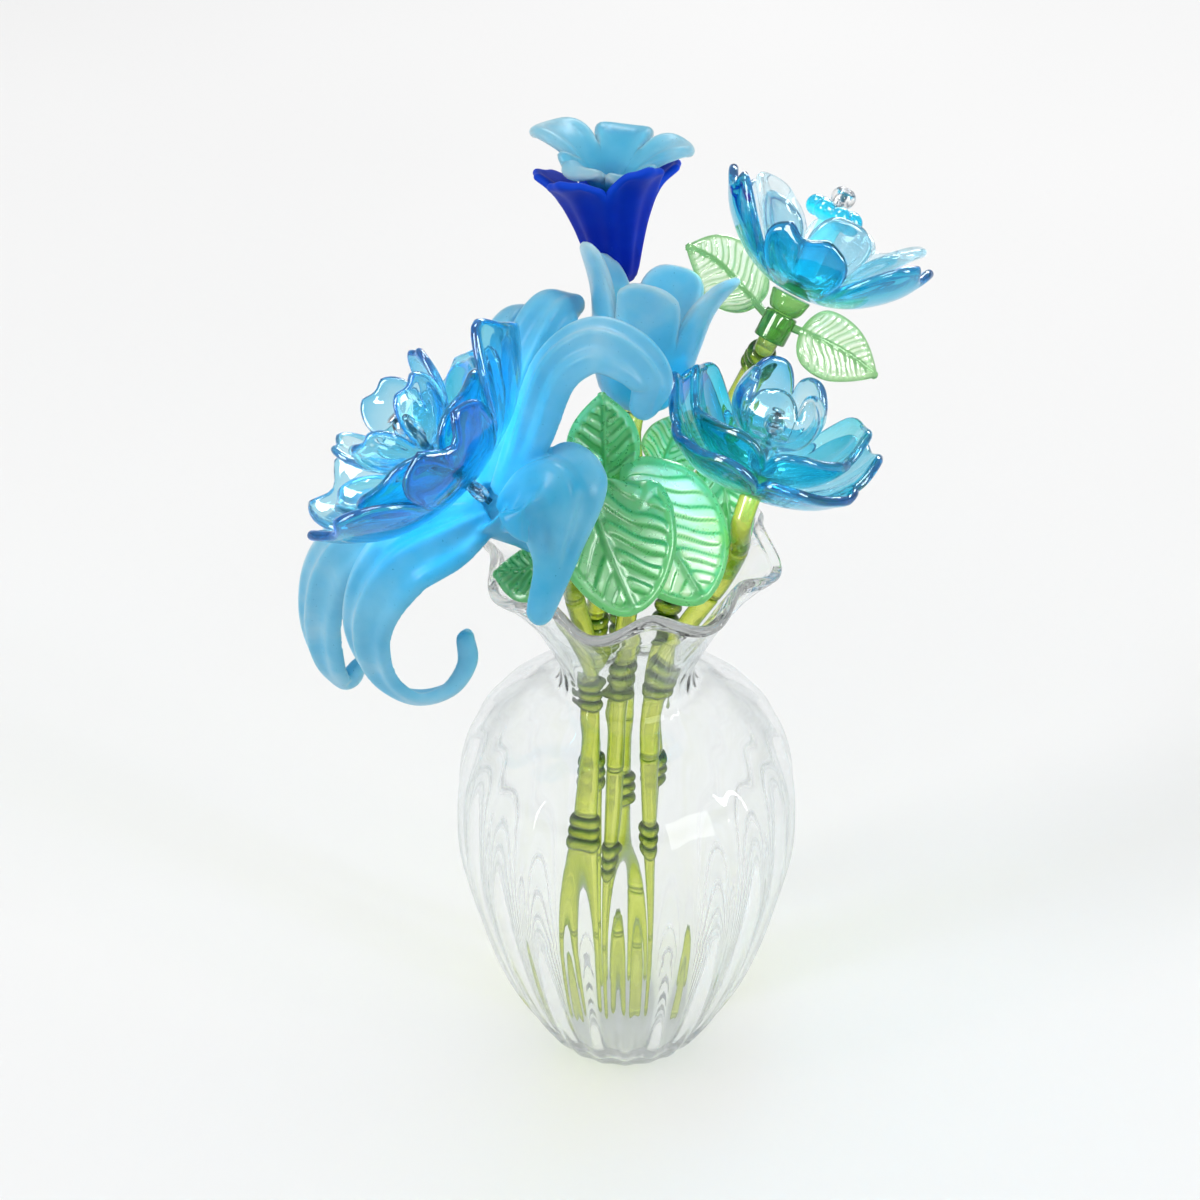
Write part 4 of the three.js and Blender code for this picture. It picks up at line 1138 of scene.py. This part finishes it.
def leaf(
    name, path, halves, facing, slot="leaf_green", stalk=0.16, arch=0.12, thickness=1.1,
    veins=6, relief=0.4, pale=0.0, line=0.45, blunt=0.0,
):
    """A moulded leaf: a short stalk, then an arched blade with a raised rim, midrib and side veins.

    halves    the greatest widths to the left and right of the midrib
    facing    the way that its upper face looks
    stalk     the stalk's share of the path
    pale      how much paler the blade is between its veins, and line how broad their outlines are
    blunt     0 for a pointed tip, 1 for a round one
    """
    x = np.linspace(-1, 1, 81)
    x = 0.6 * x + 0.4 * np.sin(x * math.pi / 2)
    share = stalk + (1 - stalk) * (0.5 - 0.5 * np.cos(np.linspace(0.04, 1, 110) * math.pi))
    share = np.concatenate([np.linspace(0, stalk, 8), share[1:]])
    share = np.minimum(share, 0.999)
    at = along(path, share)
    tangent = unit(along(path, np.minimum(1, share + 0.02)) - along(path, np.maximum(0, share - 0.02)))
    side = unit(np.cross(tangent, unit(facing)))
    normal = np.cross(side, tangent)
    blade = np.clip((share - stalk) / (1 - stalk), 0, 1)
    full = np.sin(math.pi * blade**0.8) ** (0.55 + 0.35 * (1 - blunt) * blade**2 - 0.1 * blunt)
    width = np.where(x[None, :] < 0, full[:, None] * halves[0], full[:, None] * halves[1])
    stalk_width = 0.7 * np.sqrt(np.clip((1 - blade) / 0.02, 0.0, 1))[:, None]
    width = np.maximum(stalk_width, width)
    grid = at[:, None, :] + side[:, None, :] * (x[None, :] * width)[..., None]
    grid = grid - normal[:, None, :] * (arch * width * x[None, :] ** 2)[..., None]
    edge = np.concatenate([grid[:, 0], grid[-1], grid[::-1, -1], grid[0]])
    gap = nearest(grid, edge)
    half = rim_depth(gap, thickness * (1 - 0.15 * x[None, :] ** 2))
    reach = np.linalg.norm(np.array(path[-1], float) - np.array(path[0], float))
    from_midrib = np.abs(x[None, :]) * width
    run = blade[:, None] * reach * (1 - stalk) - 0.6 * from_midrib
    pitch = reach * (1 - stalk) / veins
    wander = 0.9 * np.sin(0.7 * run / pitch + 2.1 * np.sign(x)[None, :])
    wander = wander + 0.5 * np.sin(3 * from_midrib / pitch)
    wave = np.cos(2 * math.pi * run / pitch + wander)
    vein = step_up(-0.35, 0.55, wave)
    groove = np.exp(-(((wave - 0.1) / line) ** 2))
    margin = min(1, max(halves) / 11)
    inside = step_up(1.2 * margin, 2.2 * margin, gap) * step_up(0.5 * margin, 1.4 * margin, from_midrib)
    rim = np.exp(-(((gap - 0.9) / 0.6) ** 2)) * step_up(0, 0.15, blade)[:, None]
    rib = np.exp(-((from_midrib / (0.8 * margin)) ** 2)) * step_up(1, 0.93, blade)[:, None]
    height = relief * (vein * inside + 0.9 * rim + rib * step_up(0.3, 1.5, gap))
    top = grid + normal[:, None, :] * (half + height)[..., None]
    bottom = grid - normal[:, None, :] * half[..., None]
    shape = loft(np.concatenate([top, bottom[:, -2:0:-1]], 1), at[0], at[-1] + tangent[-1] * 0.1)
    # The relief is painted with light: the raised veins and the rim are paler as a painted highlight.
    dark = 0.25 + 0.9 * pale
    tone = 0.64 - 0.1 * rim + 0.1 * rib + inside * (dark * groove - 0.14 * vein - pale)
    tone = np.concatenate([np.concatenate([tone, tone[:, -2:0:-1]], 1).ravel(), [0.7, 0.7]])
    return piece(f"{name}_moulded", [name], slot, shape, tone)


TOP_LEAF = {
    "halves": (5.7, 5.7), "slot": "pale_green_gloss", "veins": 7, "pale": 0.48, "line": 0.5, "relief": 0.3,
}
LEAVES = {
    "leaf_front_left": {
        "path": [
            (-5, -9.8, 125.6), (-6.6, -12.6, 131.2), (-5, -18, 126.4), (-2, -22.4, 120.4), (1, -25.4, 114.2),
        ],
        "halves": (12.6, 8), "facing": (0.15, -0.75, 0.6), "veins": 5, "blunt": 1.0,
    },
    "leaf_front_right": {
        "path": [
            (-1.8, -8.8, 124.8), (0.4, -11, 127.4), (4.6, -14, 122.6), (8.4, -17.4, 117.6),
            (11.8, -20.6, 112.8),
        ],
        "halves": (11.5, 8.5), "facing": (0.25, -0.7, 0.6), "veins": 5, "pale": 0.5, "blunt": 0.8,
    },
    "leaf_upright": {
        "path": [(-4, -7.8, 125.9), (-4.1, -7.2, 130), (-4.2, -6.6, 136.8), (-4.4, -5.9, 143.2)],
        "halves": (6, 6), "facing": (0.1, -0.9, 0.2), "stalk": 0.1,
    },
    "leaf_behind": {
        "path": [(4.6, -0.6, 124), (6.2, 1, 126.6), (8, 4, 129.6), (9.6, 7, 131.6)],
        "halves": (5.5, 5.5), "facing": (-0.3, -0.6, 0.7), "stalk": 0.1, "pale": 0.3,
    },
    "leaf_low_left": {
        "path": [(-11.9, -15.3, 115.2), (-14.2, -15.2, 115.6), (-17.6, -14.6, 114.6), (-22, -13.4, 113.4)],
        "halves": (5.5, 5.5), "facing": (-0.15, -0.35, 0.93), "stalk": 0.22,
    },
    "leaf_low_right": {
        "path": [
            (14.6, 8.7, 121.4), (15, 3.4, 122.4), (16, -0.4, 117.6), (16.8, -1.8, 111), (17.2, -2.4, 105.4),
        ],
        "halves": (5.5, 5), "facing": (0.3, -0.7, 0.6), "stalk": 0.12,
    },
    "leaf_top_left": {
        "path": [(22.8, 11.2, 146.6), (18.8, 19.2, 147.7), (14.6, 22.8, 150.7), (9.4, 24, 153.1)],
        "facing": (-0.2, -0.7, 0.7), **TOP_LEAF,
    },
    "leaf_top_right": {
        "path": [(25.8, 8.2, 146.9), (29.6, 6.8, 145.8), (35, 7, 142.6), (40.3, 7, 138.2)],
        "facing": (0.2, -0.7, 0.7), **TOP_LEAF,
    },
}

# ---- room ----

FLOOR_REACH = 3.0  # metres
SKY_BAND = [(0.5, 0.95), (0.515, 0.5), (0.6, 0.36), (0.68, 0.95), (1.0, 1.0)]  # 0.5 is the horizon
SKY_STRENGTH = 0.83

# For each group of pieces, its lamps: (place, (width, height), power), in metres and watts
LAMPS = {
    "lit_by_lamps": {
        "key": ((-0.75, -0.35, 0.75), (0.12, 0.5), 2.8),
        "fill": ((0.6, -0.35, 0.5), (0.05, 0.45), 1.3),
        "back": ((0.15, 0.7, 0.6), (0.4, 0.06), 1.2),
    },
    "polished": {
        "shine_left": ((-0.6, -0.45, 0.4), (0.3, 0.7), 14),
        "shine_right": ((0.7, -0.5, 0.45), (0.3, 0.6), 11),
        "shine_back": ((0.3, 0.8, 0.5), (0.5, 0.25), 9),
        "shine_top": ((-0.1, 0.1, 0.9), (0.4, 0.2), 6),
        "shine_front": ((0.1, -0.85, 0.5), (0.3, 0.1), 2.6),
    },
    "blown": {
        "window": ((0.52, -0.71, 0.24), (0.5, 0.6), 3),
        "strip_left": ((-0.8, -0.35, 0.3), (0.03, 0.6), 0.7),
        "strip_right": ((0.8, -0.2, 0.3), (0.03, 0.6), 0.7),
    },
}
LAMP_AIM = (-0.005, 0, 0.11)

CAMERA_LENS = 78
CAMERA_ELEVATION = 36
CAMERA_DISTANCE = 440
CAMERA_TARGET = (-4.7, 0, 98.5)


def floor():
    r = FLOOR_REACH
    made = mesh_in_scene("floor", [(-r, -r, 0), (r, -r, 0), (r, r, 0), (-r, r, 0)], [(0, 1, 2, 3)])
    finish = Finish("floor_paint")
    finish.colour(finish.ramp(finish.noise(3, 2), [(0.3, "#ececec"), (0.7, "#f0f0f0")]))
    finish.set(Roughness=0.9, Specular_IOR_Level=0.0)
    made.data.materials.append(finish.material)
    return made


def sky():
    """White all round, with a grey band over the horizon, which outlines the glass."""
    world = bpy.data.worlds.new("studio")
    world.use_nodes = True
    nodes, link = world.node_tree.nodes, world.node_tree.links.new
    coord = nodes.new("ShaderNodeTexCoord")
    split = nodes.new("ShaderNodeSeparateXYZ")
    scaled = nodes.new("ShaderNodeMapRange")
    scaled.inputs["From Min"].default_value = -1
    band = nodes.new("ShaderNodeValToRGB")
    band.color_ramp.interpolation = "EASE"
    fill_ramp(band.color_ramp, [(position, (grey, grey, grey, 1)) for position, grey in SKY_BAND])
    background = nodes["Background"]
    background.inputs["Strength"].default_value = SKY_STRENGTH
    link(coord.outputs["Generated"], split.inputs["Vector"])
    link(split.outputs["Z"], scaled.inputs["Value"])
    link(scaled.outputs["Result"], band.inputs["Fac"])
    link(band.outputs["Color"], background.inputs["Color"])
    bpy.context.scene.world = world


def softbox(name, place, size, power, receivers, joint_shaded_tone):
    """A lamp aimed at the bouquet, for these receivers. One for shine adds gloss and nothing else."""
    light = bpy.data.lights.new(name, "AREA")
    light.shape = "RECTANGLE"
    light.size, light.size_y = size
    light.energy = power
    made = in_scene(name, light)
    made.location = place
    made.rotation_euler = (Vector(LAMP_AIM) - Vector(place)).to_track_quat("-Z", "Y").to_euler()
    made.light_linking.receiver_collection = receivers
    made.visible_diffuse = not joint_shaded_tone
    made.visible_transmission = not joint_shaded_tone


def lamps():
    """The vase has lamps of its own, all else is lit by the first group, and what is polished also shines."""
    groups = {group: bpy.data.collections.new(group) for group in LAMPS}
    for made in bpy.context.scene.objects:
        if made.type != "MESH":
            continue
        groups["blown" if made.name.startswith("vase") else "lit_by_lamps"].objects.link(made)
        if made.name.startswith(("rose", "stem", "leaf")):
            groups["polished"].objects.link(made)
    for group, members in LAMPS.items():
        for name, (place, size, power) in members.items():
            softbox(name, place, size, power, groups[group], group != "lit_by_lamps")


def camera():
    data = bpy.data.cameras.new("camera")
    data.sensor_width = 36
    data.lens = CAMERA_LENS
    data.clip_start = 0.01
    data.clip_end = 20
    made = in_scene("camera", data)
    tilt = math.radians(CAMERA_ELEVATION)
    back = np.array([0, -math.cos(tilt), math.sin(tilt)])
    made.location = (np.array(CAMERA_TARGET) + CAMERA_DISTANCE * back) * MM
    made.rotation_euler = (math.pi / 2 - tilt, 0, 0)
    bpy.context.scene.camera = made


def quality():
    """Plain colours, and enough bounces for light to pass through many layers of glass."""
    scene = bpy.context.scene
    scene.view_settings.view_transform = "Standard"
    scene.view_settings.look = "None"
    scene.cycles.max_bounces = 40
    scene.cycles.transmission_bounces = 32
    scene.cycles.glossy_bounces = 32
    scene.cycles.diffuse_bounces = 4
    scene.cycles.transparent_max_bounces = 24
    scene.cycles.use_denoising = True


# ---- the whole bouquet ----

camera()
quality()
sky()
floor()
vase()
for name, (path, clusters) in STEMS.items():
    stem(name, path, clusters)
roses()
cup_bead()
set_blossom("bell", "pale_blue_frosted", BELL_SHAPE, BELL)
trumpet()
lily()
left_tube_bead()
for name, look in LEAVES.items():
    leaf(name, **look)
lamps()
